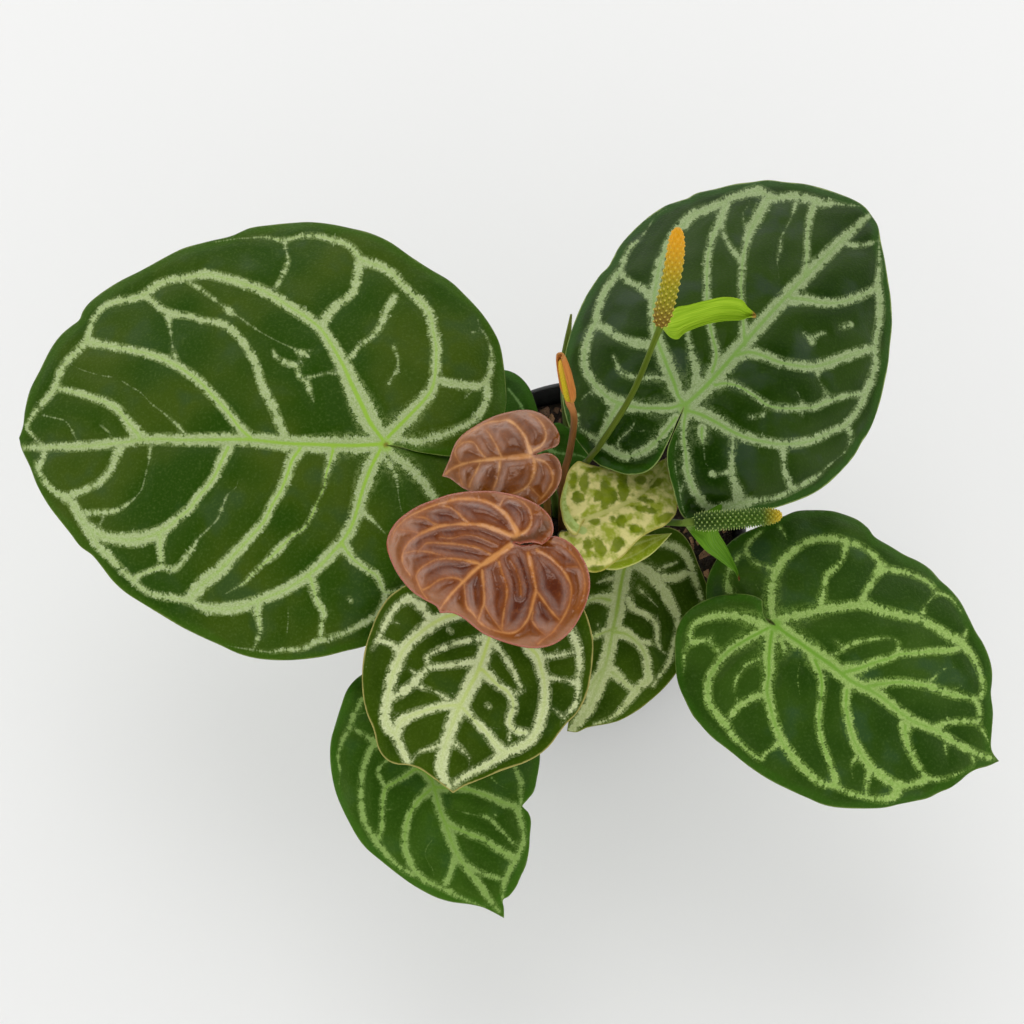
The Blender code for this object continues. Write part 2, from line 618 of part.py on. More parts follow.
def bud_spathe():
    """The second flower's spathe, still wrapped round the right side of its spadix."""
    low, middle, high = (np.array(real_point(*point)) for point in SPADICES["2"][0])
    path = smooth_path([low + (middle - low) * 0.06, middle, high + (high - middle) * 0.22], BUD_STEPS)
    part = np.linspace(0, 1, len(path))
    radii = BUD_WRAP * np.sqrt(1 - 0.9 * part**3) * np.minimum(1, 0.82 + part)
    turns = np.linspace(BUD_OPENING / 2, 2 * math.pi - BUD_OPENING / 2, BUD_SIDES) + math.pi
    inside = []
    outside = []
    for point, radius, (side, other) in zip(path, radii, frames_along(path)):
        ways = np.outer(np.cos(turns), side) + np.outer(np.sin(turns), other)
        inside.append(point + radius * ways)
        outside.append(point + (radius + SPATHE) * ways)
    return slab("spathe_2", outside, inside)


def rolled_leaf():
    foot, points, sizes = ROLLED_LEAF
    path = stalk_path(foot, points, 15)
    gaps = np.concatenate([[0], np.cumsum(np.linalg.norm(np.diff(path, axis=0), axis=1))])
    radii = np.interp(gaps, np.linspace(0, gaps[-1], len(sizes)), sizes)
    return tube("rolled_leaf", path, radii, STALK_SIDES)


def wall_radius(z):
    """The pot wall's outer radius at a height below the rim."""
    return POT_BASE_RADIUS + (POT_TOP_RADIUS - RIM_STEP - POT_BASE_RADIUS) * z / UNDER_RIM


def pot():
    inner_top = POT_TOP_RADIUS - POT_WALL
    profile = [
        (0, 0),
        (POT_BASE_RADIUS - 1.5, 0),
        (POT_BASE_RADIUS, 1.5),
        (wall_radius(UNDER_RIM) - 0.1, UNDER_RIM - 0.8),
        (POT_TOP_RADIUS - 0.6, UNDER_RIM),
        (POT_TOP_RADIUS, UNDER_RIM + 1.5),
        (POT_TOP_RADIUS, POT_HEIGHT - 1.0),
        (POT_TOP_RADIUS - 0.8, POT_HEIGHT),
        (inner_top, POT_HEIGHT - 0.4),
        (inner_top - 0.4, UNDER_RIM + 2.5),
        (wall_radius(UNDER_RIM) - POT_WALL, UNDER_RIM - 2.0),
        (wall_radius(POT_FLOOR) - POT_WALL, POT_FLOOR),
        (0, POT_FLOOR),
    ]
    obj = lathe("pot", profile, POT_SIDES)
    cutters = []
    for number in range(DRAIN_HOLES):
        turn = 2 * math.pi * (number + 0.5) / DRAIN_HOLES
        centre = (DRAIN_RING * math.cos(turn), DRAIN_RING * math.sin(turn))
        cutters.append(post("drain", centre, DRAIN_RADIUS, -2.0, POT_FLOOR + 2.0, 12))
    cut_away(obj, cutters)
    return obj


def post(name, centre, radius, low, high, sides):
    """An upright post, used as a cutter."""
    return lathe(name, [(0, low), (radius, low), (radius, high), (0, high)], sides, centre)


def feet():
    """Middle and radius of everything that stands in the mix."""
    found = [(CROWN, CROWN_RADIUS)]
    found += [(foot, radius * LEAF_STALK_FOOT) for foot, radius, _ in LEAF_STALKS.values()]
    found += [(foot, radius * FLOWER_STALK_FOOT) for foot, radius, _ in FLOWER_STALKS.values()]
    found.append((ROLLED_LEAF[0], ROLLED_LEAF[2][0]))
    return found


def lumps(turn, radius, z):
    """How far the mix's surface rises above or falls below its level."""
    if z < MIX_TOP - 1:
        return 0.0
    ripple = math.sin(5 * turn + 0.21 * radius) * math.cos(3 * turn - 0.13 * radius)
    swell = math.sin(0.4 * radius + turn)
    return MIX_ROUGHNESS * (ripple + swell) * (0.3 if radius < STALKS_WITHIN else 1.0)


def potting_mix():
    floor = POT_FLOOR + MIX_GAP
    inside = POT_WALL + 1.0
    edge = wall_radius(MIX_TOP - 3) - inside
    profile = [(0, floor), (wall_radius(floor) - inside - 0.6, floor)]
    profile += [(edge, MIX_TOP - 3), (edge - 1.0, MIX_TOP - 0.6)]
    profile += [(edge * part / MIX_RINGS + 1.0, MIX_TOP) for part in range(MIX_RINGS - 1, 0, -1)]
    profile.append((0, MIX_TOP + 0.3))
    obj = lathe("potting_mix", profile, MIX_SIDES, wobble=lumps)
    cutters = []
    for centre, radius in feet():
        hole = radius / math.cos(math.pi / HOLE_SIDES) + STALK_HOLE_GAP
        cutters.append(post("hole", centre, hole, ROOTED_AT - STALK_HOLE_GAP, MIX_TOP + 8, HOLE_SIDES))
    cut_away(obj, cutters)
    return obj


def crown():
    """The short stem, with the ridges that old stalks leave."""
    profile = [(0, ROOTED_AT), (CROWN_RADIUS, ROOTED_AT), (CROWN_RADIUS, CROWN_SCALES_FROM)]
    for scale in range(CROWN_SCALES):
        z = CROWN_SCALES_FROM + scale * CROWN_SCALE
        radius = CROWN_RADIUS - 0.7 * scale
        profile += [(radius + 0.1, z + 0.8 * CROWN_SCALE), (radius - 0.7, z + 0.9 * CROWN_SCALE)]
    profile += [(CROWN_RADIUS * 0.35, CROWN_TOP - 1), (0, CROWN_TOP)]
    return lathe("crown", profile, CROWN_SIDES, CROWN)


def paint(obj):
    """Gives the object a plain material of its own."""
    start = next(start for start in FINISHES if obj.name.startswith(start))
    colour, roughness = FINISHES[start]
    material = bpy.data.materials.new(obj.name)
    material.use_nodes = True
    shader = material.node_tree.nodes["Principled BSDF"]
    shader.inputs["Base Color"].default_value = (*colour, 1.0)
    shader.inputs["Roughness"].default_value = roughness
    shader.inputs["Metallic"].default_value = 0.0
    obj.data.materials.clear()
    obj.data.materials.append(material)


def build():
    bpy.data.objects.remove(bpy.data.objects["Cube"])
    pot()
    potting_mix()
    crown()
    for key in LEAVES:
        leaf_stalk(key)
        blade(key)
    rolled_leaf()
    for number in FLOWER_STALKS:
        flower_stalk(number)
        spadix(number)
    for number in SPATHES:
        spathe(number)
    bud_spathe()
    for obj in bpy.context.scene.objects:
        if obj.type == "MESH":
            paint(obj)


build()
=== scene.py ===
"""The potted anthurium's looks: fine leaves with their drawn veins, stalks, flowers, pot and potting mix.

Lengths are in millimetres, as in the part's source, and turn into metres where a mesh is made. Leaves and
flowers are set out on a drawing seen from high in front: a drawing point and a height give a real point.
"""

import math
import random

import bmesh
import bpy
import numpy as np
from mathutils import Euler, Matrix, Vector
from mathutils.geometry import delaunay_2d_cdt


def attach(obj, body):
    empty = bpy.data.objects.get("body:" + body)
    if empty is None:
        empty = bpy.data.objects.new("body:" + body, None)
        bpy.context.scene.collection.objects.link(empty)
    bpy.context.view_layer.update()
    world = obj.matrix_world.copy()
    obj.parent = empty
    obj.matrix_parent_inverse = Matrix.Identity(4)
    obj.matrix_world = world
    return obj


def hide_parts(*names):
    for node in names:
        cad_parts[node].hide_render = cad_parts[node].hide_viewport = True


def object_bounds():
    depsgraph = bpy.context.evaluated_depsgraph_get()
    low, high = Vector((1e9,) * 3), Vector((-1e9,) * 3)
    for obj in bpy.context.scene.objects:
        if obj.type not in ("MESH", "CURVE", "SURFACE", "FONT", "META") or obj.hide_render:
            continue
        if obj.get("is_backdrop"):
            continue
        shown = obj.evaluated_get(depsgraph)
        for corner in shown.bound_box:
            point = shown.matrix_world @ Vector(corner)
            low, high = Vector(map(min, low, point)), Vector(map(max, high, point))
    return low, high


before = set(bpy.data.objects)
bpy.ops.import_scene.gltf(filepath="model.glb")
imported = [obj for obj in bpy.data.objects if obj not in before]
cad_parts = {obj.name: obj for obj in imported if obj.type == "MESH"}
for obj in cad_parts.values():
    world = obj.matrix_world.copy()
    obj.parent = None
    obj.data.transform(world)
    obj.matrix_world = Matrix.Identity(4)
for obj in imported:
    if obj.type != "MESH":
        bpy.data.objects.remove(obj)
cad_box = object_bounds()

MM = 0.001

# The drawing's view, which is also the camera's
VIEW_ELEVATION = math.radians(70.0)
VIEW_DISTANCE = 1200.0
VIEW_FOCAL = 2528.0
DRAWING_SIZE = 1024.0
DRAWING_MIDDLE = (512.0, 512.0)
RIM_ON_DRAWING = (588.5, 525.4)
SENSOR = 36.0

# Pot and mix, as in the part
POT_HEIGHT = 130.0
POT_TOP_RADIUS = 75.0
POT_BASE_RADIUS = 54.0
POT_WALL = 2.0
POT_FLOOR = 3.0
UNDER_RIM = 118.0
RIM_STEP = 2.6
DRAIN_HOLES = 6
DRAIN_RADIUS = 4.5
DRAIN_RING = 35.0
MIX_TOP = UNDER_RIM

# Crown and stalk feet, as in the part
CROWN = (-12.0, -6.5)
CROWN_RADIUS = 4.2
CROWN_TOP = 139.0
ROOTED_AT = 104.0
LEAF_STALK_FOOT = 1.25
FLOWER_STALK_FOOT = 1.15
NECK = 4.0

# How fine leaf meshes are, and how their rays turn, in drawing units of about 0.45 mm. The last is how many
# points' gaps are measured at once.
MARGIN_STEP = 2.0
GRID_STEP = 3.0
FINE_STEP = 2.0
WIDE_LEAVES = ("left", "upper_right", "right", "front", "front_low")
VEIN_STEP = 1.6
VEIN_CLEAR = 0.8
VEIN_FAR = 14.0
WIDEST_TURN = math.radians(171)
NOTCH_REACH = 28.0
LEAST_TURN = 0.25
CURVE_STEPS = 12
GAPS_AT_ONCE = 2000

# The main veins' half-width and pale core, the half-width of a fully bold vein, how far round a vein can
# reach past a notch, how far apart the places along two veins are numbered, and how close to the joint a
# vein counts for both lobes
MAIN_VEIN = 6.0
CORE_SHARE = 0.17
BOLD_VEIN = 2.6
LOBE_TURN = 1.5
VEIN_APART = 61.0
BY_JOINT = 4.0

# Leaf forms in millimetres: thickness at the margin and inside, ribs below, quilting above, and a slow swell
MARGIN_THICK = 0.35
BODY_THICK = 0.45
MARGIN_BAND = 12.0
JOINT_BODY = 20.0
RIB_DEPTH = 0.9
RIB_BAND = (0.5, 5.0)
PLAIN_QUILT = 0.5
QUILT = {"bronze": 1.6, "bronze_small": 1.4, "pale": 0.9, "upper_right": 0.6}
QUILT_BAND = 9.0
SUNK_VEIN = 0.2
SUNK_BAND = 3.0
SWELL = 0.35
SWELL_SIZE = 26.0
SWELL_FROM = 30.0
CHANNEL_HALF = 7.0
LOBE_REACH = 40.0
LOBES_RISE = (math.radians(120), math.radians(178))

# Stalks: how fine their meshes are, the gap below the blade, and knee and groove as shares of the radius
STALK_STEPS = 70
STALK_SIDES = 20
STRAIGHT = 6.0
BLADE_GAP = 1.0
KNEE = 0.28
KNEE_AT = 0.965
KNEE_LENGTH = 0.035
GROOVE = 0.09
GROOVE_TURN = 1.6
GROOVE_HALF = 0.35
STALK_RIPPLE = 0.012
ROLL_SIDES = 40
ROLL_STEP = 0.22
ROLL_FROM = (0.45, 0.6)

# Flowers: how fine their meshes are, florets round a spadix and the stigmas' share of their relief, then the
# spathes' thickness and ridges, and the bud's radius, opening and turn toward the eye
SPADIX_STEPS = 210
SPADIX_SIDES = 96
FLORETS_ROUND = 8
STIGMA = 0.9
SPATHE_STEPS = 90
SPATHE_COLUMNS = 40
SPATHE_THICK = 0.75
SPATHE_RIDGE = 0.14
SPATHE_RIDGES = 7
BUD_WRAP = 2.7
BUD_THICK = 0.75
BUD_RIDGE = 0.03
BUD_RIDGES = 6
BUD_OPENING = math.radians(140)
BUD_TURNED = math.radians(-62)
BUD_ENDS = (0.06, 0.22)
BUD_STEPS = 60
BUD_SIDES = 48

# Pot, mix, bark chips and crown: how fine they are, how the mix meets the wall, the heights and sizes of
# its bumps, how the chips lie, and the scars round the crown
POT_SIDES = 160
POT_CREASE = math.radians(35)
DRAIN_SIDES = 32
MIX_SIDES = 200
MIX_RINGS = 60
MIX_EDGE = 3.0
MIX_CLEAR = 0.2
CRUMBS = ((0.9, 14.0), (0.7, 5.5), (0.35, 2.4))
CHIPS = 300
CHIP_SIZES = (5.0, 12.0)
CHIP_CORNERS = 14
CHIP_FORM = ((0.7, 1.0), (0.4, 0.75), (0.2, 0.45))
CHIP_LEAN = 0.5
CHIPS_APART = 0.52
CHIPS_WITHIN = 66.0
CHIPS_HEAP = 4.5
CHIPS_HEAP_FROM = 40.0
CHIP_RAISED = 0.16
CHIP_CLEAR = 0.55
CHIP_SEED = 7
CROWN_STEPS = 40
CROWN_SIDES = 48
CROWN_RING = 4.2
CROWN_TAPER = 0.6
CROWN_SCAR = 0.7

# Where most of the noise lies, how close the hairs at a vein's edge stand, how little they change away
# from it, the share of their tufts, and the size at which an edge wanders
NOISE_BAND = (0.3, 0.7)
HAIR_GAP = 1.7
HAIR_REACH = 0.3
TUFT_SHARE = 0.6
WANDER_SIZE = 4.0

# How strongly each layer of a blade's finish shows, and the bands and widths of those that need them
# Painted sheen, a greyer tone standing in for reflected sky, shows at this share
PAINTED_SHEEN_SHARE = 0.7
OUTER_SHARE = 0.75
OUTER_BAND = (10.0, 3.0)
GRAIN_SHARE = 0.35
HAZE_SHARE = 0.6
HAZE_LEAST = 2.5
HAZE_MORE = 9.0
HUB_SHARE = 0.85
HUB_BAND = (9.5, 2.5)
STAIN_SHARE = 0.75
STAIN_BAND = (4.6, 1.2)
NET_SHARE = 0.32
NET_SIZE = 2.6
HALO_SHARE = 0.5
# The painted shade under a curled lobe's edge shows at this share
CURL_SHADE_SHARE = 0.6
ISLAND_SHARE = 0.92
MOSTLY = 0.8
COAT_ROUGH = 0.12
GLOSS_TINT = (1.0, 1.0, 0.25, 1.0)
BRONZE_TINT = (1.0, 0.85, 0.75, 1.0)

# Screen colours of each green leaf: the blade dark, light and grain, its veins, their core, the margin's
# line, the band within it, patches of painted sheen that stand in for the sky's reflection, and a stain at
# the joint. Then come the patches' size, how much slimmer the veins are, the line's width, how their edges
# fray and wander, the haze's reach, and the gloss.
GREEN_BASE = dict(wander=1.3, rough=0.42, gloss=0.1, coat=0.0)
GREEN_LEAVES = {
    "left": dict(
        blade=((30, 62, 3), (54, 75, 10), (84, 106, 48)), vein=((138, 158, 92), (172, 186, 142)),
        core=(140, 178, 62), margin=(92, 112, 46), outer=(46, 80, 6), painted_sheen=(44, 70, 34), stain=(112, 84, 26),
        patch=38.0, slim=0.8, rim=1.2, fray=1.9, haze=90.0, coat=0.03,
    ),
    "upper_right": dict(
        blade=((18, 43, 2), (34, 58, 4), (56, 80, 28)), vein=((118, 138, 86), (150, 165, 122)),
        core=(112, 148, 66), margin=(120, 138, 74), outer=(32, 70, 6), painted_sheen=(44, 60, 44),
        patch=38.0, slim=1.1, rim=1.3, fray=1.8, haze=80.0, rough=0.3, gloss=0.045, coat=0.08,
    ),
    "right": dict(
        blade=((30, 60, 8), (48, 76, 18), (74, 100, 44)), vein=((120, 152, 68), (156, 182, 106)),
        core=(106, 150, 50), margin=(86, 110, 44), outer=(42, 80, 12), painted_sheen=(42, 70, 40),
        patch=34.0, slim=1.5, rim=1.2, fray=1.8, haze=80.0, rough=0.38, gloss=0.08, coat=0.04,
    ),
    "front": dict(
        blade=((30, 54, 2), (50, 72, 8), (78, 100, 36)), vein=((172, 184, 128), (200, 208, 162)),
        core=(176, 194, 98), margin=(150, 142, 80), outer=(46, 70, 2), painted_sheen=(42, 66, 20),
        patch=30.0, slim=1.5, rim=2.0, fray=1.7, haze=60.0,
    ),
    "front_low": dict(
        blade=((34, 66, 8), (50, 82, 16), (74, 104, 40)), vein=((112, 142, 68), (134, 160, 90)),
        core=(112, 152, 52), margin=(80, 108, 38), outer=(44, 86, 14), painted_sheen=(40, 72, 28),
        patch=30.0, slim=0.9, rim=1.2, fray=1.6, haze=60.0, rough=0.4, gloss=0.12,
    ),
    "inner_right": dict(
        blade=((36, 60, 4), (56, 80, 12), (82, 104, 42)), vein=((166, 180, 116), (196, 204, 154)),
        core=(146, 172, 72), margin=(116, 122, 56), outer=(52, 78, 6), painted_sheen=(48, 72, 24),
        patch=26.0, slim=0.9, rim=1.4, fray=1.5, haze=50.0,
    ),
    "back": dict(
        blade=((28, 64, 8), (46, 90, 18), (62, 102, 38)), vein=((112, 150, 84), (136, 168, 104)),
        core=(110, 146, 66), margin=(50, 72, 26), outer=(40, 86, 14), painted_sheen=(30, 62, 22),
        patch=30.0, slim=0.3, rim=1.0, fray=1.0, wander=0.8, haze=40.0,
    ),
    "pale_under": dict(
        blade=((116, 134, 12), (160, 172, 52), (188, 190, 100)), vein=((176, 186, 96), (194, 200, 124)),
        core=(190, 196, 110), margin=(184, 186, 108), outer=(126, 146, 20), painted_sheen=(190, 190, 108),
        patch=7.0, slim=0.0, rim=1.8, fray=0.6, wander=0.6, haze=24.0, gloss=0.15,
    ),
}

# Screen colours of the young leaves and of the undersides. The bronze leaf's curl colour is painted shade
# under a lobe's curled edge.
BRONZE_LEAVES = {
    "bronze": dict(
        blade=((78, 26, 0), (108, 50, 8), (124, 68, 8)), halo=(140, 74, 22),
        vein=((180, 112, 50), (200, 138, 78)), margin=(142, 66, 46), curl=(62, 36, 0),
    ),
    "bronze_small": dict(
        blade=((88, 40, 4), (120, 66, 28), (112, 62, 10)), halo=(144, 84, 32),
        vein=((184, 122, 64), (204, 148, 90)), margin=(134, 80, 52),
    ),
}
PALE_LEAF = dict(
    cream=((146, 158, 50), (214, 206, 136)), green=((84, 104, 2), (116, 132, 14)), vein=(194, 192, 118),
    margin=(160, 152, 66), curl=(170, 190, 112),
)
GREEN_BACK = (((66, 92, 36), (84, 108, 50)), (116, 138, 72))
BRONZE_BACK = (((96, 62, 40), (120, 82, 54)), (160, 108, 70))
PALE_BACK = (((128, 142, 72), (150, 160, 92)), (176, 182, 120))

# Where a lobe's edge curls over, which the blade's form doesn't follow: drawing points along it, and half
# its width. The bronze leaf has painted shade there, the pale one a striped pale green band.
CURLS = {
    "pale": (((564, 484), (562, 500), (566, 515), (574, 526), (583, 531)), 4.0),
    "bronze": (((514, 541), (522, 539), (532, 537), (541, 532), (547, 525)), 3.6),
}

# Stalks at the foot, higher up and at the joint
STALK_TONES = {
    "stalk_green": ((58, 82, 28), (92, 116, 42), (132, 150, 72)),
    "stalk_bronze": ((88, 70, 26), (132, 84, 36), (160, 108, 60)),
    "rolled": ((54, 78, 26), (88, 108, 38), (112, 122, 52)),
    "flower_stalk_1": ((58, 66, 20), (64, 82, 16), (78, 98, 26)),
    "flower_stalk_2": ((78, 52, 22), (116, 72, 34), (156, 102, 60)),
    "flower_stalk_3": ((52, 78, 26), (62, 88, 28), (84, 106, 40)),
}

# Spadices: foot, middle, tip, painted shade between florets and painted highlight on stigmas, and where
# along it the tip's colour starts
SPADIX_TONES = {
    "1": ((108, 82, 14), (128, 126, 6), (200, 142, 4), (80, 58, 4), (204, 186, 84), 0.4),
    "2": ((170, 150, 20), (178, 160, 20), (190, 150, 40), (140, 112, 12), (196, 182, 60), 0.4),
    "3": ((48, 74, 14), (66, 96, 20), (176, 152, 26), (24, 32, 4), (166, 182, 104), 0.74),
}

# Spathes: dark and light streaks, the foot and the dry point
SPATHE_TONES = {
    "1": ((116, 154, 20), (150, 184, 44), (160, 182, 70), (150, 118, 54)),
    "2": ((158, 92, 42), (184, 118, 58), (160, 110, 52), (164, 112, 62)),
    "3": ((66, 112, 22), (92, 136, 34), (150, 174, 96), (112, 66, 40)),
}

# The pot, the mix, bark dark, light and stained, the crown and the ground's paper
POT_TONES = ((22, 23, 23), (31, 32, 32))
MIX_TONES = ((34, 26, 18), (62, 46, 32))
BARK_TONES = ((84, 58, 38), (146, 108, 74), (60, 42, 28))
CROWN_TONES = ((70, 72, 40), (104, 96, 60))
PAPER = (239, 239, 238)

# The ground and the light, in metres: the sky's strength at the horizon and overhead, and the lamp
FLOOR_RADIUS = 40.0
SKY_LIGHT = (2.65, 0.1)
LAMP_PLACE = Vector((-0.6, 2.6, 7.4))
LAMP_AIM = Vector((0.0, 0.0, 0.15))
LAMP_SIZE = 4.2
LAMP_POWER = 96.0


def drawn_points(text):
    """Rows of numbers, with commas between them: mostly drawing points, of two numbers each."""
    return [tuple(float(value) for value in pair.split()) for pair in text.split(",")]


# Drawing points round each blade, from one side of the notch past the tip to the other
OUTLINES = {
    "left": drawn_points("""
    394 446, 405 449, 425 453, 450 456, 470 452, 490 440, 501 424, 506 405, 506 388, 504 367, 500 345,
    492 328, 480 311, 465 295, 450 281, 430 269, 410 256, 390 242, 370 233, 350 228, 330 224, 310 222,
    290 223, 270 225, 250 228, 231 236, 210 241, 187 247, 175 252, 160 260, 140 271, 120 281, 104 291,
    90 302, 83 311, 79 320, 70 327, 60 336, 50 350, 40 370, 30 390, 25 410, 23 426, 19 438, 22 450, 30 467,
    37 485, 47 503, 58 518, 70 533, 80 546, 92 555, 102 567, 112 580, 125 592, 142 603, 160 614, 180 626,
    200 636, 220 645, 240 654, 262 659, 290 660, 320 657, 345 651, 365 646, 388 636, 415 620, 445 600,
    470 574, 490 545, 500 517, 501 492, 493 472, 478 461, 455 456, 430 454, 408 452, 394 449
    """),
    "upper_right": drawn_points("""
    680 413, 674 422, 669 434, 665 445, 662 455, 656 464, 648 471, 638 474, 625 474, 612 470, 600 465,
    590 457, 583 448, 576 439, 571 431, 566 417, 563 402, 562 388, 563 372, 566 350, 571 332, 578 313,
    585 298, 591 288, 600 275, 608 267, 612 260, 619 247, 628 236, 639 225, 651 215, 665 206, 679 201,
    688 198, 697 193, 715 189, 735 184, 752 182, 768 180, 785 182, 805 184, 825 189, 845 196, 858 202,
    866 208, 872 216, 878 226, 881 242, 885 261, 888 280, 891 300, 892 325, 890 345, 888 365, 884 385,
    880 402, 874 420, 868 433, 862 442, 854 456, 841 471, 826 485, 810 495, 790 503, 770 509, 750 512,
    730 514, 708 516, 690 520, 682 515, 677 503, 673 488, 669 473, 667 460, 668 447, 674 434, 681 421,
    686 413
    """),
    "right": drawn_points("""
    765 625, 748 625, 730 621, 715 613, 707 601, 706 588, 709 574, 716 560, 726 546, 740 535, 755 528,
    770 522, 784 516, 797 511, 815 510, 832 511, 846 515, 858 520, 868 528, 875 537, 890 546, 905 555,
    918 561, 930 569, 940 580, 950 589, 960 601, 968 616, 976 632, 983 643, 989 657, 992 670, 992 682,
    991 694, 993 712, 992 730, 991 745, 993 753, 999 761, 988 766, 977 769, 968 774, 960 781, 950 788,
    940 792, 928 798, 915 801, 900 804, 880 808, 845 808, 825 805, 808 798, 790 790, 770 780, 750 767,
    730 751, 712 737, 700 724, 692 714, 685 700, 679 686, 676 672, 675 655, 675 640, 678 626, 686 613,
    699 603, 714 597, 730 594, 745 594, 757 597, 766 603, 770 611, 771 618
    """),
    "front": drawn_points("""
    500 588, 490 580, 472 573, 450 571, 430 573, 414 580, 403 587, 392 594, 384 603, 377 615, 371 630,
    366 645, 363 660, 362 678, 363 696, 367 714, 373 728, 376 740, 379 750, 386 759, 396 764, 408 765,
    420 769, 432 777, 443 785, 453 793, 464 786, 474 782, 486 777, 498 772, 512 767, 526 762, 540 754,
    551 744, 559 733, 567 723, 576 714, 583 703, 588 690, 591 674, 593 656, 593 640, 590 625, 585 611,
    577 598, 566 587, 552 579, 536 576, 521 579, 510 586
    """),
    "front_low": drawn_points("""
    411 716, 405 700, 396 684, 383 674, 369 672, 357 678, 347 690, 341 706, 336 722, 331 740, 330 757,
    332 776, 336 793, 342 808, 350 824, 358 838, 367 849, 380 860, 395 872, 410 883, 425 892, 438 898,
    452 902, 468 904, 482 907, 493 912, 504 918, 504 909, 503 900, 509 896, 516 887, 521 876, 526 865,
    529 850, 530 835, 531 821, 528 812, 522 807, 528 799, 534 791, 537 778, 540 758, 538 738, 530 718,
    516 702, 498 692, 477 690, 456 696, 438 706, 424 716
    """),
    "inner_right": drawn_points("""
    624 558, 612 553, 596 553, 582 560, 571 572, 564 590, 562 610, 563 632, 566 655, 569 678, 571 700,
    570 716, 567 731, 577 732, 586 728, 594 726, 606 724, 618 721, 630 715, 641 708, 652 699, 662 690,
    671 680, 680 668, 689 656, 698 641, 705 624, 709 606, 708 589, 703 575, 698 563, 693 550, 686 538,
    677 530, 666 527, 655 529, 645 535, 637 545, 633 554
    """),
    "pale": drawn_points("""
    586 530, 583 536, 577 537, 570 533, 564 525, 561 515, 560 503, 562 492, 565 482, 568 472, 573 465,
    579 461, 588 464, 600 467, 613 471, 630 473, 648 467, 666 458, 668 470, 671 481, 675 492, 677 504,
    676 513, 671 520, 664 526, 654 530, 643 536, 633 545, 624 555, 612 564, 602 571, 590 572, 580 566,
    570 556, 562 545, 559 536, 562 529, 571 530, 581 530
    """),
    "pale_under": drawn_points("""
    603 557, 607 549, 617 542, 630 537, 645 535, 660 534, 672 533, 663 543, 653 553, 641 561, 627 567,
    614 570, 604 568, 602 563
    """),
    "bronze_small": drawn_points("""
    537 450, 544 449, 552 449, 558 445, 560 438, 558 431, 554 424, 548 418, 540 413, 530 410, 519 410,
    508 412, 497 415, 485 420, 473 427, 463 434, 456 442, 452 451, 449 460, 445 469, 442 476, 449 478,
    455 482, 463 488, 474 493, 488 498, 503 503, 520 507, 534 507, 543 503, 551 496, 557 488, 561 479,
    562 471, 560 462, 556 456, 550 452, 543 452, 537 455
    """),
    "bronze": drawn_points("""
    517 549, 526 550, 537 547, 547 541, 553 533, 553 524, 549 515, 541 507, 531 501, 519 496, 506 493,
    492 491, 477 491, 462 492, 447 495, 433 500, 420 505, 408 512, 398 520, 391 529, 387 539, 387 549,
    391 561, 397 573, 405 584, 414 593, 425 600, 436 606, 440 613, 452 613, 463 618, 473 626, 484 634,
    498 640, 514 645, 530 648, 545 647, 558 642, 570 632, 579 619, 586 604, 590 588, 589 573, 584 560,
    576 548, 566 540, 555 536, 544 538, 533 543, 523 547
    """),
    "back": drawn_points("""
    542 438, 541 424, 537 408, 530 389, 519 376, 505 370, 489 372, 474 380, 462 394, 455 412, 451 432,
    450 452, 449 474, 470 480, 492 481, 517 481, 541 480, 562 477, 580 470, 589 461, 588 449, 578 437,
    569 428, 560 423, 552 424, 546 432
    """),
}

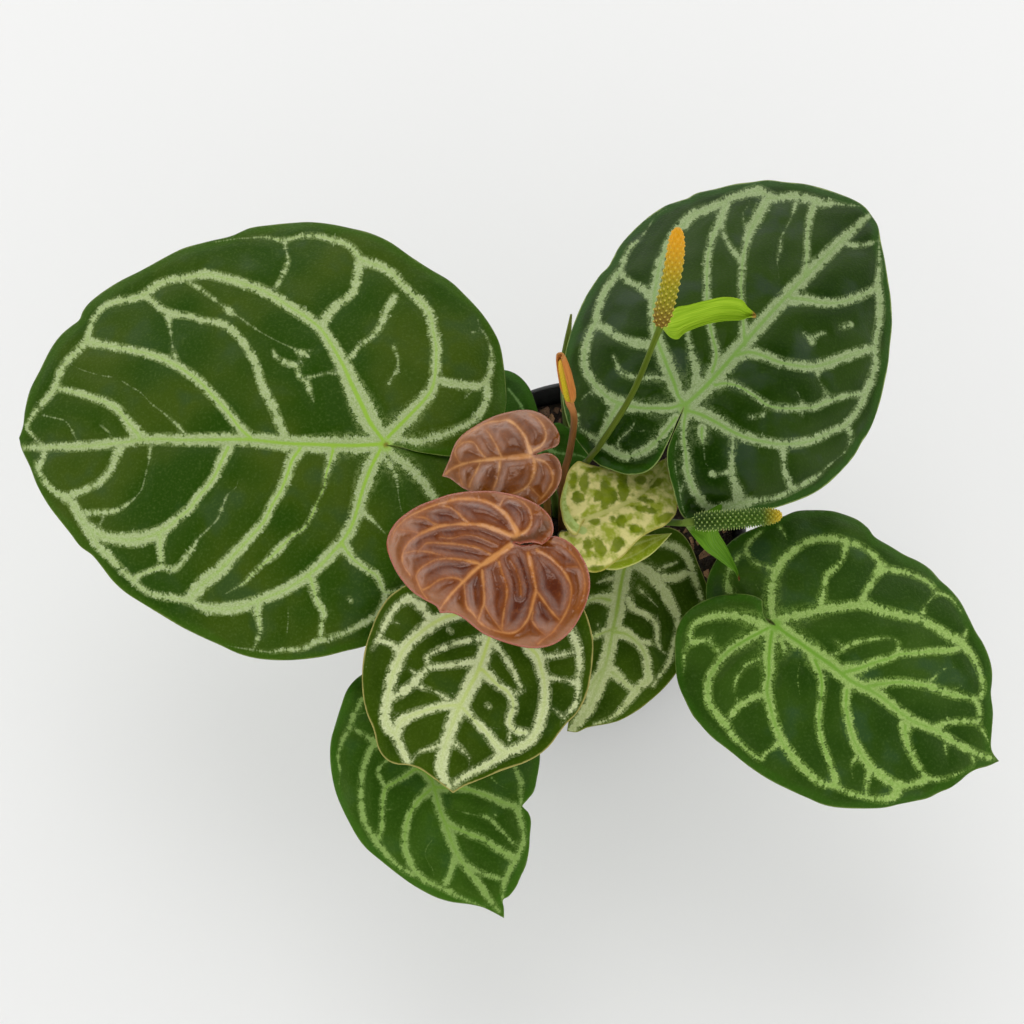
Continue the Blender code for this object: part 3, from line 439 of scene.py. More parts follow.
# Drawing points of the stalk's joint and the tip, the joint's height, and the blade's form in millimetres.
# slope: the rise for each millimetre toward the tip, and toward the left of that direction
# drop: how far the tip, the lobes and the sides hang
# channel: the rise beside the midrib
# wave: the margin's height, count and phase
# lobes: the rise of the first and the last lobe where they meet
# notch: how far the lobes close up there
LEAVES = {
    "left": dict(
        joint=(386, 445), tip=(19, 438), height=240.0, slope=(-0.10, -0.07), drop=(26, 14, 20),
        channel=3.0, wave=(1.5, 9, 0.4), lobes=(2.5, -2.5), notch=0.05,
    ),
    "upper_right": dict(
        joint=(684, 407), tip=(872, 216), height=262.0, slope=(-0.05, 0.0), drop=(30, 24, 33),
        channel=3.0, wave=(1.3, 10, 1.0), lobes=(0.8, -0.8), notch=0.03,
    ),
    "right": dict(
        joint=(775, 625), tip=(999, 761), height=215.0, slope=(-0.08, 0.0), drop=(24, 3, 14),
        channel=2.5, wave=(1.5, 8, 0.0), lobes=(-4.5, 5.5), notch=0.28,
    ),
    "front": dict(
        joint=(503, 592), tip=(453, 793), height=240.0, slope=(-0.08, 0.0), drop=(16, 6, 7),
        channel=2.5, wave=(1.2, 8, 2.0), lobes=(0.5, -0.5), notch=0.0,
    ),
    "front_low": dict(
        joint=(416, 722), tip=(504, 918), height=200.0, slope=(-0.10, 0.0), drop=(22, 6, 14),
        channel=2.5, wave=(1.5, 8, 0.7), lobes=(0.5, -0.5), notch=0.0,
    ),
    "inner_right": dict(
        joint=(629, 560), tip=(567, 731), height=205.0, slope=(-0.10, 0.0), drop=(16, 4, 8),
        channel=2.5, wave=(1.0, 7, 0.0), lobes=(0.5, -0.5), notch=0.0,
    ),
    "pale": dict(
        joint=(584, 520), tip=(666, 458), height=242.0, slope=(-0.12, 0.0), drop=(4, 2, 2),
        channel=2.5, wave=(0.8, 5, 0.0), lobes=(4.5, -3.5), notch=0.22,
    ),
    "pale_under": dict(
        joint=(606, 560), tip=(672, 533), height=226.0, slope=(-0.10, 0.0), drop=(4, 0, 2),
        channel=1.5, wave=(0.3, 4, 0.0), lobes=(0.3, -0.3), notch=0.0,
    ),
    "bronze_small": dict(
        joint=(533, 455), tip=(442, 476), height=268.0, slope=(-0.12, 0.0), drop=(6, 3, 6),
        channel=2.0, wave=(0.8, 6, 0.0), lobes=(1.0, -1.0), notch=0.06,
    ),
    "bronze": dict(
        joint=(514, 543), tip=(440, 613), height=284.0, slope=(-0.12, 0.0), drop=(10, 3, 8),
        channel=2.5, wave=(1.0, 7, 0.0), lobes=(6.0, -4.0), notch=0.25,
    ),
    "back": dict(
        joint=(540, 446), tip=(449, 474), height=180.0, slope=(-0.20, 0.0), drop=(12, 3, 8),
        channel=2.0, wave=(1.0, 7, 0.0), lobes=(0.5, -0.5), notch=0.06,
    ),
}

# Where each leaf stalk leaves the mix, its radius, and the points that it bends through on its way up
LEAF_STALKS = {
    "left": ((-20.5, 3.5), 2.3, [(-26, 1, 158), (-45, -3, 196), (-72, -3, 224)]),
    "upper_right": ((0.0, 5.0), 2.2, [(2, 7, 160), (11, 11, 205), (25, 15, 242)]),
    "right": ((0.5, -7.5), 2.1, [(8, -16, 150), (30, -38, 174), (58, -60, 196)]),
    "front": ((-16.5, -14.0), 2.1, [(-19, -22, 158), (-27, -39, 198), (-35, -55, 226)]),
    "front_low": ((-24.0, -12.5), 2.0, [(-32, -28, 142), (-49, -62, 164), (-66, -94, 183)]),
    "inner_right": ((-4.5, -12.5), 1.8, [(-1, -17, 155), (6, -27, 180), (12, -36, 195)]),
    "pale": ((-10.0, -14.5), 1.6, [(-10, -17, 160), (-9, -22, 200), (-7, -31, 227)]),
    "pale_under": ((-5.0, -18.5), 1.5, [(-4, -22, 160), (-1, -28, 190), (1, -34, 207)]),
    "bronze_small": ((-19.0, -2.5), 1.5, [(-21, -4, 190), (-24, -9, 235), (-26, -15, 255)]),
    "bronze": ((-19.0, -8.5), 1.7, [(-20, -14, 175), (-25, -30, 225), (-31, -48, 262)]),
    "back": ((-15.0, 9.5), 1.6, [(-17, 12, 145), (-20, 16, 160), (-22, 19, 170)]),
}

# The rolled leaf: its foot, then the points that it passes, then its radius from foot to tip
ROLLED_LEAF = (
    (-8.0, 9.5),
    [(-8.5, 20, 143), (-9.5, 33, 163), (-11, 46, 183), (-11.5, 58, 199), (-9.5, 71, 215)],
    [1.7, 1.7, 1.9, 2.6, 3.0, 2.3, 0.5],
)

# Flower stalks: where each leaves the mix, its radius, then drawing points with their heights
FLOWER_STALKS = {
    "1": (
        (-5.5, 2.5),
        1.4,
        [(583, 470, 190), (588, 461, 235), (592, 455, 247), (602, 442, 262), (632, 394, 279)],
    ),
    "2": ((-12.5, 1.5), 1.6, [(563, 480, 196), (569, 455, 228), (573, 432, 256), (574, 416, 275)]),
    "3": ((-4.5, -4.5), 1.6, [(594, 533, 150), (624, 523, 188), (664, 522, 222), (680, 523, 240)]),
}

# Spadices: drawing points and heights of the foot, of a point on the way and of the tip, the radius, the rows
# of florets, and how far these stand out as a share of the radius
SPADICES = {
    "1": (((661, 322, 293), (673, 270, 322), (678, 228, 337)), 3.7, 13, 0.17),
    "2": (((569, 399, 293), (565, 380, 310), (561, 360, 326)), 1.9, 14, 0.05),
    "3": (((695, 522, 252), (740, 519, 255), (782, 515, 255)), 3.1, 17, 0.4),
}

# Spathes: drawing points and heights along the upper and the lower edge, and how far the middle sags
SPATHES = {
    "1": dict(
        upper=[
            (664, 321, 291), (675, 308, 290.5), (688, 305, 290), (704, 301, 290), (724, 297, 289),
            (741, 299.5, 288), (748, 307, 286.5), (756, 314, 285),
        ],
        lower=[
            (662, 328, 289), (670, 337, 286), (678, 339, 284), (685, 333, 283.5), (700, 326.5, 283),
            (720, 321.5, 283), (741, 320, 283), (748, 317, 283.5), (756.5, 315, 284.5),
        ],
        sag=3.0,
    ),
    "3": dict(
        upper=[
            (691, 518, 247), (707, 511, 249), (722, 505, 251),
            (717, 527, 245), (727, 547, 240), (736, 566, 237.5), (740, 579, 235.5),
        ],
        lower=[
            (686, 527, 247.5), (697, 541, 245), (706, 551, 243),
            (716, 558, 241), (727, 566, 239), (735, 572, 237), (739, 580, 235.5),
        ],
        sag=1.0,
    ),
}

# Veins: drawing points along each one, then after a colon its half-widths, spread evenly from its start to
# its end
VEINS = {
    "left": """
    384 444, 340 445, 290 443.5, 240 439, 190 440, 150 439, 120 443, 80 446, 45 447.5,
        25 447: 9 9 8 7 6 5 5 3;
    383 440, 370 422, 362 405, 352 385, 343 365, 330 342, 320 328, 305 316, 290 307, 275 297, 262 290,
        250 286, 235 281, 220 277, 205 274, 190 277, 175 279, 160 283, 150 290, 140 296, 125 300, 112 303,
        100 311, 92 322, 89 332, 85 343, 75 353, 66 363, 60 373, 56 385, 48 397, 38 408, 30 420,
        26 430: 8 11 11 9 7.5 6.5 6 5.5 5.5 5 5 4 4 4.5 4 3 3 4 4 4 3 1.5;
    285 438, 280 425, 272 405, 262 385, 256 365, 248 350, 240 338, 228 327, 215 322, 203 320, 190 316,
        175 314, 165 311, 155 303, 147 297, 142 295: 4.5 5 4.5 4 4 3 4 3;
    250 437, 240 428, 228 412, 215 398, 200 382, 185 371, 170 362, 150 354, 130 350, 110 346, 95 343,
        88 341: 6 5 5 5 4.5 4 5;
    140 437, 130 425, 118 410, 105 402, 90 397, 75 392, 62 389, 55 389: 7 5 4.5 3.5 3;
    187 436, 178 426, 165 414, 152 404, 140 392, 130 386, 122 381: 2 1 0.8;
    112 377, 105 376, 92 373, 80 369, 70 364: 0.8;
    75 437, 72 430, 65 421, 55 418, 42 415: 1;
    110 433, 100 425: 1;
    167 313, 169 322, 171 335, 173 348, 176 360: 4 1.5 1 3;
    190 282, 200 289, 210 296, 220 304, 228 310, 240 318, 250 325, 262 333, 275 340, 290 347, 300 352,
        306 354: 2.5 1.5 1.2 0.8 1.5;
    227 309, 231 313: 3.5;
    297 352, 302 353, 309 357: 2 3.4 1.6;
    303 354, 300 359, 303 364: 1.6;
    306 353, 312 350: 1.4;
    273 350, 277 358, 287 363, 296 366, 298 374, 302 379, 307 383, 310 392, 314 402: 1.5 3 2.5 3 1;
    302 378, 315 376, 328 373, 335 374: 1.5;
    388 437, 400 425, 412 413, 424 400, 432 388, 435 375, 436 360, 436 345, 433 330, 430 315, 422 303,
        410 292, 400 282, 393 274, 380 266, 368 262, 360 258, 352 248, 342 242, 330 239, 318 236, 305 236,
        290 239, 280 240, 265 237, 250 238, 240 238.5, 228 240,
        215 242: 9 8 6.5 5.5 5.5 5 4.5 5 5 3.5 3 2 1.8 1 0.8;
    395 297, 388 308, 383 320, 378 330, 370 338, 360 345, 352 355, 345 362: 4 4 3 2 3;
    360 262, 357 275, 354 290, 347 298, 337 305, 328 315, 322 325: 5 4.5 4 5 6;
    285 240, 286 250, 288 260, 285 270, 280 280, 276 287: 2.5 1.2 2.5 2 2;
    395 350, 398 360, 397 370, 392 377, 389 383: 1.5;
    393 346, 395 349: 2;
    436 380, 450 383, 465 386, 478 386, 487 380, 491 370, 492 358, 490 345, 486 335,
        480 328: 4 4.5 4.5 3 1.5 1;
    478 320, 479 330, 472 332: 1;
    487 385, 487 398, 483 408, 477 417, 465 425, 450 432, 435 437, 420 441, 405 440,
        394 438: 4.5 4 3.2 4 4.2 4;
    465 398, 470 393, 474 390: 1;
    380 450, 372 465, 366 480, 361 495, 357 510, 352 525, 343 540, 330 555, 318 567, 305 577, 285 590,
        262 599, 240 607, 222 609, 205 608, 190 601, 175 598, 160 596, 148 592, 138 585, 128 576, 118 566,
        108 555, 98 545, 92 535, 82 520, 75 508, 68 498, 55 492, 45 482, 38 470,
        36 462: 8 8 7 7 7 6.5 6 6 7 5 4 3.5 3 5 6 5 3 2;
    300 449, 292 460, 287 475, 281 490, 272 505, 265 520, 255 532, 243 545, 232 557, 220 570, 207 580,
        197 590, 190 598: 7 6 5 5 5 6 7 8 7;
    228 447, 222 460, 215 475, 207 487, 198 497, 190 508, 178 518, 168 527, 155 534, 140 539, 125 540,
        110 538, 98 534, 90 528: 7 5 4.5 5 5 7 8 6 6;
    160 535, 160 548, 161 560, 160 567, 150 571, 140 575, 132 580: 7 3.5 3 2.5 3;
    161 567, 172 570, 178 567, 185 558, 193 548, 197 540, 205 532, 212 525, 218 518, 222 508, 226 498,
        229 493, 236 487, 238 480: 3 3 2.5 1.5 1 1.5 1 0.6;
    120 448, 115 460, 108 473, 98 483, 85 490, 72 495, 66 499: 5 4 3.5 3.5 5;
    150 448, 149 460, 146 472, 143 485, 140 492, 133 500, 125 506, 115 511, 105 512, 92 513,
        84 514: 2 0.8 0.8 1.2 2.2 3 3;
    105 512, 102 520, 100 524: 1.2;
    333 450, 330 462, 326 475, 324 487, 318 500, 313 512, 308 522, 302 530, 293 535, 288 540, 280 548,
        272 556, 262 565, 253 573, 245 582, 240 585, 230 591,
        222 596: 7 3 1.8 1.2 2.2 1.8 3 5 2.2 2.2 1.5 0.6;
    390 452, 400 460, 412 470, 422 480, 430 492, 436 500: 5 5 4.5 4.5;
    385 458, 393 470, 397 480, 398 492, 400 505, 402 512: 4 2 1 0.6;
    363 512, 370 518, 378 526, 385 533: 3 1.5 1;
    343 545, 350 555, 358 563, 368 570, 377 576, 381 585, 385 592, 395 591, 403 587: 7 4.5 4.5 4 2.5 2;
    385 592, 384 600, 380 610, 372 619, 360 625, 345 633, 330 638, 318 641, 310 645, 300 649, 285 650,
        270 652, 255 650, 240 648, 225 645: 3 3.5 3 3 3.2 2.2 1.5 1 0.6;
    310 577, 314 590, 318 603, 324 613, 322 620, 321 630, 320 640: 6 4.5 3.5 2.5 3;
    258 602, 257 612, 259 622, 260 632, 257 641, 253 650: 6 3 2 1.5;
    288 607, 288 620, 287 633: 0.8;
    349 599, 351 601: 2;
    28 430, 35 438, 42 445: 2;
    45 450, 42 460, 38 470: 3
    """,
    "upper_right": """
    684 406, 700 392, 720 371, 740 348, 760 325, 780 303, 800 282, 820 262, 840 242, 855 228,
        867 217: 9 10 9.5 8.5 8 7.5 7 6 3;
    683 402, 678 395, 674 382, 668 368, 663 355, 658 342, 655 328, 654 312, 654 298, 656 285, 658 272,
        662 258, 668 245, 676 232, 684 224, 693 215, 705 210, 718 205, 730 198, 742 195, 755 191, 765 194,
        775 198, 788 196, 800 197, 812 200, 822 204, 832 203, 845 205,
        860 206: 6 8 8 7 6.5 6 6 5.5 5 6 5.5 4.5 4.5 6 4.5 5 5 2 1;
    680 405, 670 408, 655 408, 640 408, 625 405, 612 400, 600 390, 592 380, 586 370, 584 358, 586 345,
        590 332, 596 320, 598 308, 602 298, 608 287, 614 278, 620 270, 624 260, 630 248, 640 238, 648 228,
        655 217, 663 211, 670 208: 6 6 5.5 8 6 5 5 5 4.5 4.5 4 3.5 2.5 1.5 0.8 0.6;
    598 325, 608 330, 618 337, 630 342, 642 344, 653 345: 5 4 5 6;
    622 275, 630 282, 640 287, 650 294, 656 298: 4 3 5 6;
    613 355, 617 365, 620 372, 630 376, 640 378, 655 377, 665 378: 1.5 2.5 3 2.5 3;
    618 405, 612 415, 608 425, 602 435, 595 438, 588 434, 580 428, 577 420, 578 415: 8 6 5 3 2 2;
    594 398, 590 392, 582 399: 1.2;
    676 418, 668 428, 660 437, 650 447, 640 453, 630 456, 622 456, 615 452, 605 447,
        598 443: 7 5.5 5 5 5 4 4;
    620 452, 618 442, 624 435, 632 428, 635 420, 638 412: 2 1.5 1;
    632 430, 640 431, 645 430: 1;
    686 328, 688 335, 690 345, 692 355, 695 365, 696 375, 697 385: 2 3 4.5 7;
    712 372, 716 360, 716 350, 713 338, 710 325, 708 312, 707 300, 707 285, 707 270, 708 255, 711 243,
        714 233, 720 222, 723 212, 726 204: 6 4.5 4 4 4 4 4.2 5 5;
    721 225, 724 235, 729 245, 734 252, 739 258, 742 262: 4 2 3 4;
    745 345, 744 332, 743 318, 742 300, 741 285, 742 270, 743 258, 746 245, 749 233, 755 222, 760 212,
        765 203, 770 197: 7 4.5 3 3.5 4 4 5.5 6.5 6;
    743 213, 744 222, 748 228: 1 1.5 3;
    748 195, 749 203, 745 210: 1;
    803 280, 806 268, 807 255, 807 243, 808 230, 810 218, 813 208, 815 202: 6 4 3 3.5 4 5;
    796 200, 794 210, 790 220, 785 230, 781 238, 780 250, 778 257, 777 265: 3 1.2 1.2 2 1;
    778 265, 779 280, 779 295: 0.5;
    685 410, 700 414, 715 421, 730 430, 745 437, 762 441, 780 444, 800 443, 815 439, 830 432, 845 425,
        855 414, 862 402, 867 390, 873 375, 876 362, 875 350, 876 338, 879 325, 880 312, 880 298, 878 285,
        879 272, 879 258, 879 245, 879 235: 8 8 6.5 5.5 5 5 4.5 4 4 5 4 4 4.5 4 2 1;
    733 432, 733 445, 732 458, 732 470, 734 482, 738 492, 740 502: 4 3 3 4 6 7;
    732 470, 725 473, 715 475: 3 2 2;
    712 474, 714 475: 3;
    703 440, 704 450, 705 462, 708 466: 1.5 1 0.8;
    783 445, 784 455, 784 465, 786 475, 790 485, 795 488: 5 2.5 3 4;
    740 503, 755 501, 770 499, 785 494, 797 488, 810 481, 820 474, 828 466, 835 460, 845 452, 850 442,
        851 435, 848 429: 7 3 2.5 2.5 3 1.5 1 1.5 3;
    715 385, 725 383, 738 386, 750 393, 760 400, 770 406, 785 408, 800 408, 815 407, 825 402, 838 398,
        850 395, 862 394: 6 3.5 3 4 4.2 4 4.2 3.5 3;
    765 408, 763 415, 755 417, 750 417: 2;
    802 405, 799 395, 797 392: 3 1.2 0.8;
    803 410, 802 416: 2 1.5;
    818 378, 822 386, 825 392, 828 397: 1 1.5 3;
    737 355, 750 352, 765 356, 780 362, 800 366, 815 366, 830 362, 845 357, 860 352,
        872 348: 8 6 5 5.5 6.5 6 5;
    817 368, 818 375: 4 2;
    792 298, 805 299, 820 302, 835 303, 848 300, 860 296, 870 291, 877 288: 8 5.5 5 5 4;
    803 333, 809 338, 812 342: 1.5 3;
    812 338, 820 334, 826 333: 3 1.5;
    842 327, 850 325: 3;
    842 240, 850 244, 862 245, 870 243, 877 241: 4 2.5 1.5;
    686 412, 684 425, 684 440, 686 455, 687 468, 690 480, 695 492, 702 502, 710 508, 720 508, 730 506,
        738 504: 6 4.5 4 5 5 5 5 6;
    702 428, 702 438, 704 447: 6 4 1;
    677 440, 675 455, 676 470, 679 485, 681 500, 684 512, 687 518: 1 1.5 1.2 1;
    690 470, 684 482, 681 492: 1.5
    """,
    "right": """
    775 625, 790 636, 810 650, 830 664, 850 680, 870 690, 885 700, 900 712, 915 722, 935 730, 950 739,
        965 748, 980 755, 992 758: 8 8 9 8 7 6 6 5 4.5 3;
    775 622, 772 612, 771 600, 772 588, 775 575, 782 562, 792 552, 805 543, 820 539, 835 539, 847 542,
        860 546, 870 552, 878 560, 883 568, 895 570, 908 573, 920 578, 930 584, 937 592, 945 595, 953 600,
        960 610, 965 618: 4 5 5 5 4.5 4 4.5 4 3 4.5 3.2 3 2.5 1.8 1;
    776 572, 770 568, 762 566, 755 563, 750 557, 746 552, 748 545, 752 539, 758 534,
        763 530: 4 2 3 3 2.5 1.5;
    746 552, 740 555, 736 560, 732 565, 729 572, 727 580, 728 588, 732 595: 3 3 3.5 4;
    780 527, 784 533, 787 540: 2 1;
    755 583, 759 590: 1;
    778 620, 790 617, 805 614, 820 610, 840 607, 855 605, 865 605, 880 610, 895 614, 910 617, 922 620,
        935 627, 948 635, 958 641, 965 647, 972 655, 978 667, 982 680, 983 690,
        980 697: 5 5 5.5 5.5 6 5.5 5 5 6 4 3 3;
    821 606, 823 595, 825 583, 827 575, 835 568, 842 560, 845 550, 847 544: 5 2.5 4 2.5 4;
    862 603, 866 592, 872 582, 878 573, 883 568: 5 4 4 6;
    922 615, 926 605, 932 598, 937 593: 3 1.2 2.5;
    964 640, 966 632, 968 625: 3 1;
    845 672, 860 668, 875 662, 890 658, 900 654, 915 653, 930 651, 945 651, 957 648: 9 5.5 4.5 3.5 4 5;
    818 655, 832 655, 842 650, 850 645, 862 641, 875 639, 888 638, 896 640, 899 645,
        898 652: 1.5 2 3 2.5 2 1.5 2.5;
    835 640, 842 645: 1.5 2;
    868 686, 880 684, 900 682, 918 684, 932 687, 945 692, 960 696, 975 699: 7 5.5 4.5 5 4.5 4;
    932 680, 938 674, 945 669, 955 667: 2 1.2 1;
    950 690, 958 688, 963 685: 2 1;
    975 699, 979 708, 980 718, 978 724, 983 731, 987 738, 990 748: 4 3 3 2 1;
    930 729, 940 726, 950 722, 962 721, 975 722: 5 3.5 3.5;
    772 632, 770 645, 769 660, 769 675, 767 690, 770 705, 773 718, 778 732, 784 745, 792 755, 800 765,
        812 776, 822 783, 835 786, 850 793, 865 797, 880 799, 893 797, 898 790,
        900 786: 8 7 5.5 6 5.5 5.5 5.5 4.5 4.5 3.5 2.8 4.5 6;
    768 628, 755 635, 742 642, 730 650, 722 658, 715 668, 709 678, 708 690, 709 702, 715 712, 722 720,
        728 727, 733 736, 742 745, 750 752, 758 758, 762 760: 6 5.5 5 5 5 4.5 4.5 5 3.5 2.5 3;
    765 694, 755 697, 745 702, 737 708, 731 716: 5 4 4;
    738 704, 737 698: 2 1.5;
    762 759, 766 753, 773 748, 778 743: 2.5 2 4;
    718 650, 712 645, 708 641, 700 641, 693 642, 690 638, 691 630, 695 624, 705 619, 718 616, 730 615,
        742 617, 752 620, 762 624: 3 3 4 3.5 4 4.5 5 5 6;
    708 641, 712 636: 1.5;
    692 643, 686 649, 684 657, 684 668, 683 676: 3 2 1;
    762 658, 752 662, 746 665, 742 671, 737 678, 735 685, 734 692: 3 2 1.5 2 1.5;
    815 660, 820 672, 822 685, 821 700, 819 715, 819 728, 822 742, 827 755, 832 768, 835 780,
        835 785: 8 5 4 4 4 4 3.5 5;
    847 690, 846 705, 848 718, 851 730, 855 742, 860 752, 867 763, 877 772, 887 780, 897 786, 905 786,
        915 784, 925 779: 6 5 5 5.5 6 5.5 6 4 5;
    856 757, 852 764, 852 772, 853 778: 3 1.5 1;
    869 772, 867 782, 866 790, 867 797: 4 2.5 3;
    905 725, 906 737, 909 748, 914 758, 919 767, 925 776, 932 779, 942 779, 950 777, 960 773, 970 768,
        974 762, 972 757: 7 5 4 4 3.5 2.5 1.8 1.5 2;
    945 745, 946 752, 948 760: 2 1;
    798 650, 800 662, 798 672, 798 683, 800 695, 801 710, 802 720, 806 726: 1.2 1 1.1 0.6 0.6;
    781 640, 784 650, 783 657: 4 3 1.5
    """,
    "front": """
    502 596, 497 615, 492 630, 487 645, 482 660, 476 675, 469 688, 463 700, 457 712, 452 725, 447 740,
        443 755, 441 768, 444 778, 450 787: 6 6 7 8 9 9 8 7 7 4;
    500 594, 480 605, 460 613, 445 617, 432 624, 420 633, 410 642, 402 652, 397 664, 392 676, 389 690,
        387 703, 385 716, 388 727, 395 735, 400 745, 404 755, 408 762: 6 6 7 7 8 6.5 7 7 6 6 6.5 5 4;
    432 622, 425 612, 418 604, 410 599, 402 602, 395 608, 389 616, 384 625, 380 635, 376 642,
        372 650: 5 5 6 4 3.5 3.5 3 1.5;
    368 655, 366 668: 0.8;
    389 620, 395 622, 400 624: 2 1;
    378 640, 386 642, 393 645, 399 652: 3 3 5;
    487 637, 475 640, 462 642, 450 645, 440 649, 432 653, 427 657, 428 663: 4 3 3 3;
    475 662, 460 664, 445 666, 432 667, 424 672, 418 678, 412 685, 402 692, 393 697: 5 3.5 3.2 4 5 5;
    418 686, 428 689, 440 694, 448 700: 3 1.5 3;
    450 694, 457 692: 1;
    405 667, 412 671, 417 675: 1 2;
    410 655, 412 662: 0.8;
    458 705, 445 706, 430 709, 418 713, 408 717, 400 723, 396 732: 7 5 5 6 7;
    388 722, 395 716, 400 712: 1 1.5 1;
    441 744, 432 748, 422 751, 416 755, 412 762: 4 2 1.5;
    504 594, 515 610, 524 630, 530 647, 537 655, 541 668, 544 680, 545 692, 544 705, 541 718, 537 730,
        530 740, 520 747, 508 752, 498 758, 488 764, 475 771, 462 778,
        455 784: 6 6 7 8 7 6 6 6.5 6 6 5 4.2 4;
    545 657, 555 656, 565 654, 573 652: 3;
    557 648, 558 655: 1.2 2;
    547 677, 557 679, 567 680, 576 684: 4 2 4;
    571 630, 576 642, 579 655, 580 668, 578 678, 578 688, 577 700, 573 708, 566 716, 563 722,
        562 728: 5 5 4 3.5 2.8 2.5 1;
    551 707, 556 711, 562 716: 1 2;
    483 670, 490 677, 498 685, 506 690, 512 698, 513 708, 510 717, 510 725, 516 731,
        525 733: 8 5.5 4.5 5 5 4 5;
    512 696, 518 692, 523 690, 517 680, 514 672, 509 664, 504 656, 498 648, 492 642: 3 2 2.5 4 3 5;
    510 733, 509 740: 2;
    463 708, 470 716, 478 724, 486 732, 493 741, 500 749, 505 752: 7 4 5 6 6;
    487 725, 497 729, 508 727: 0.8;
    450 742, 458 746, 464 752, 469 757, 469 765: 5 3 1.5 1;
    487 705, 489 707: 2.2;
    449 630, 451 632: 2.2
    """,
    "front_low": """
    416 724, 422 745, 428 765, 432 780, 436 795, 440 810, 446 825, 451 840, 456 852, 464 865, 472 875,
        482 888, 490 900, 499 911: 6 6 6 5 5.5 6 5 4 4 2;
    417 728, 395 738, 378 743, 370 750, 365 762, 362 775, 361 790, 361 805, 364 820, 370 832, 379 845,
        388 856, 398 866, 410 873, 413 874: 5 5 4 3.2 3 3 3.2 3.2 3.5 2.2 3;
    375 742, 365 735, 355 729, 351 724, 354 715, 358 707, 362 700: 4 2 2.5 3;
    353 716, 360 714, 368 712: 1.5 0.8;
    350 727, 344 737, 340 748, 338 760, 340 772, 339 785: 3 2 1.5 0.8;
    430 778, 425 772, 416 769, 405 776, 395 782, 386 788, 383 800, 382 812, 382 825,
        379 838: 6 4 3 3.2 2.6 3;
    384 785, 379 776, 378 770, 384 763, 388 760: 2.5 1.5;
    385 810, 392 809: 1.2;
    430 790, 420 799, 412 810, 407 822, 405 835, 405 847, 409 860, 416 872, 425 880, 435 885, 448 891,
        460 897, 473 903, 485 907: 6 4 3.5 4 4 3.5 3 2.5 2 1;
    458 855, 453 865, 450 875, 445 884: 5 3.2 3.5;
    436 787, 450 788, 465 789, 480 793, 495 799, 508 804, 516 808, 520 818, 523 830, 523 842, 519 853,
        514 863, 508 873, 504 883, 503 893, 502 903: 6 4 3.5 4 4.5 4 2.8 3.2 3.5 3 1;
    521 803, 521 792, 521 782, 517 772, 513 763: 2 3 2.5;
    492 778, 498 784, 508 789: 1.2 0.6;
    455 810, 470 814, 482 816, 490 819, 497 826, 505 834, 512 842, 519 846: 0.6 1.2 2.5 1.5 2;
    494 818, 496 814: 1.5;
    447 825, 460 830, 472 835, 483 839, 493 846, 503 852, 514 858: 6 4 4 3.8 4.5;
    462 862, 475 870, 487 875, 500 879, 506 880: 5 3 2.5 3;
    432 840, 427 847, 425 855, 428 862, 432 868, 434 876: 0.8
    """,
    "inner_right": """
    628 560, 624 570, 620 590, 617 610, 614 625, 611 640, 608 655, 604 670, 598 685, 592 700, 586 712,
        578 722, 571 730: 8 9 9 8 7.5 8 8 7 4;
    632 563, 642 568, 652 575, 662 587, 668 598, 674 610, 678 620, 677 632, 672 650, 670 660, 665 668,
        658 678, 653 686: 5 6.5 6 6 4 2.8 3 2.5 2;
    665 578, 675 578, 685 574, 692 573, 690 563, 684 553, 676 547, 668 544, 662 543: 5 4.5 4 4.5 4;
    692 573, 695 582, 699 592, 702 602: 4 2;
    658 570, 663 567, 670 565, 677 562: 2 1.5;
    616 632, 626 634, 635 640, 642 648, 646 658, 648 670, 648 680, 640 686, 634 693, 628 702, 620 711,
        611 718, 602 722, 594 724: 8 5.5 4.5 5 5 4.5 3.2 2.2 1.5;
    640 642, 648 643, 656 642, 657 632, 655 622, 648 616, 640 612, 632 608, 628 600: 3 2.5 3.5 3.2 5;
    657 642, 661 650, 665 653: 2.5 1;
    657 622, 658 613: 1.5 0.8;
    640 590, 646 595, 653 602, 658 607: 2 1;
    612 672, 620 678, 626 684, 632 689: 7 4.5 5;
    616 628, 605 632, 595 636, 590 638: 7 3.5 3;
    610 600, 600 598, 590 600, 583 605: 8 4 3;
    612 578, 605 580, 597 583: 3 1.2;
    604 668, 596 678, 590 690: 6 4;
    598 624, 598 626: 1.4
    """,
    "bronze_small": """
    532 456, 515 457, 500 458.5, 485 460, 470 462, 460 465, 450 470, 444 475: 3 2.6 2.2 1.8 1;
    531 453, 528 445, 525 437, 520 430, 514 424, 507 420, 500 421, 490 422, 480 426, 470 432, 462 438,
        457 446, 455 453, 458 460, 461 464: 2.5 1.8 1.4 1 0.8 0.7 0.8;
    534 450, 541 446, 545 440, 546 433, 543 425, 537 418, 530 414: 2 1.4 1.1 0.7;
    501 456, 497 447, 493 440, 490 435, 486 430: 1.5 0.7;
    485 457, 480 451, 476 445, 472 442, 465 442, 458 446: 1.3 0.7;
    534 460, 534 470, 531 480, 526 487, 520 491, 512 494: 2.5 2 1.4 0.8;
    537 459, 545 462, 551 470, 553 479, 550 487, 546 493, 540 500: 1.5 0.8;
    528 485, 535 492, 541 498: 1 0.6;
    500 460, 499 470, 497 480, 493 490: 1.5 1;
    480 463, 476 471, 472 479, 469 487: 1.4 0.9;
    460 466, 459 473, 461 482, 463 488: 0.8
    """,
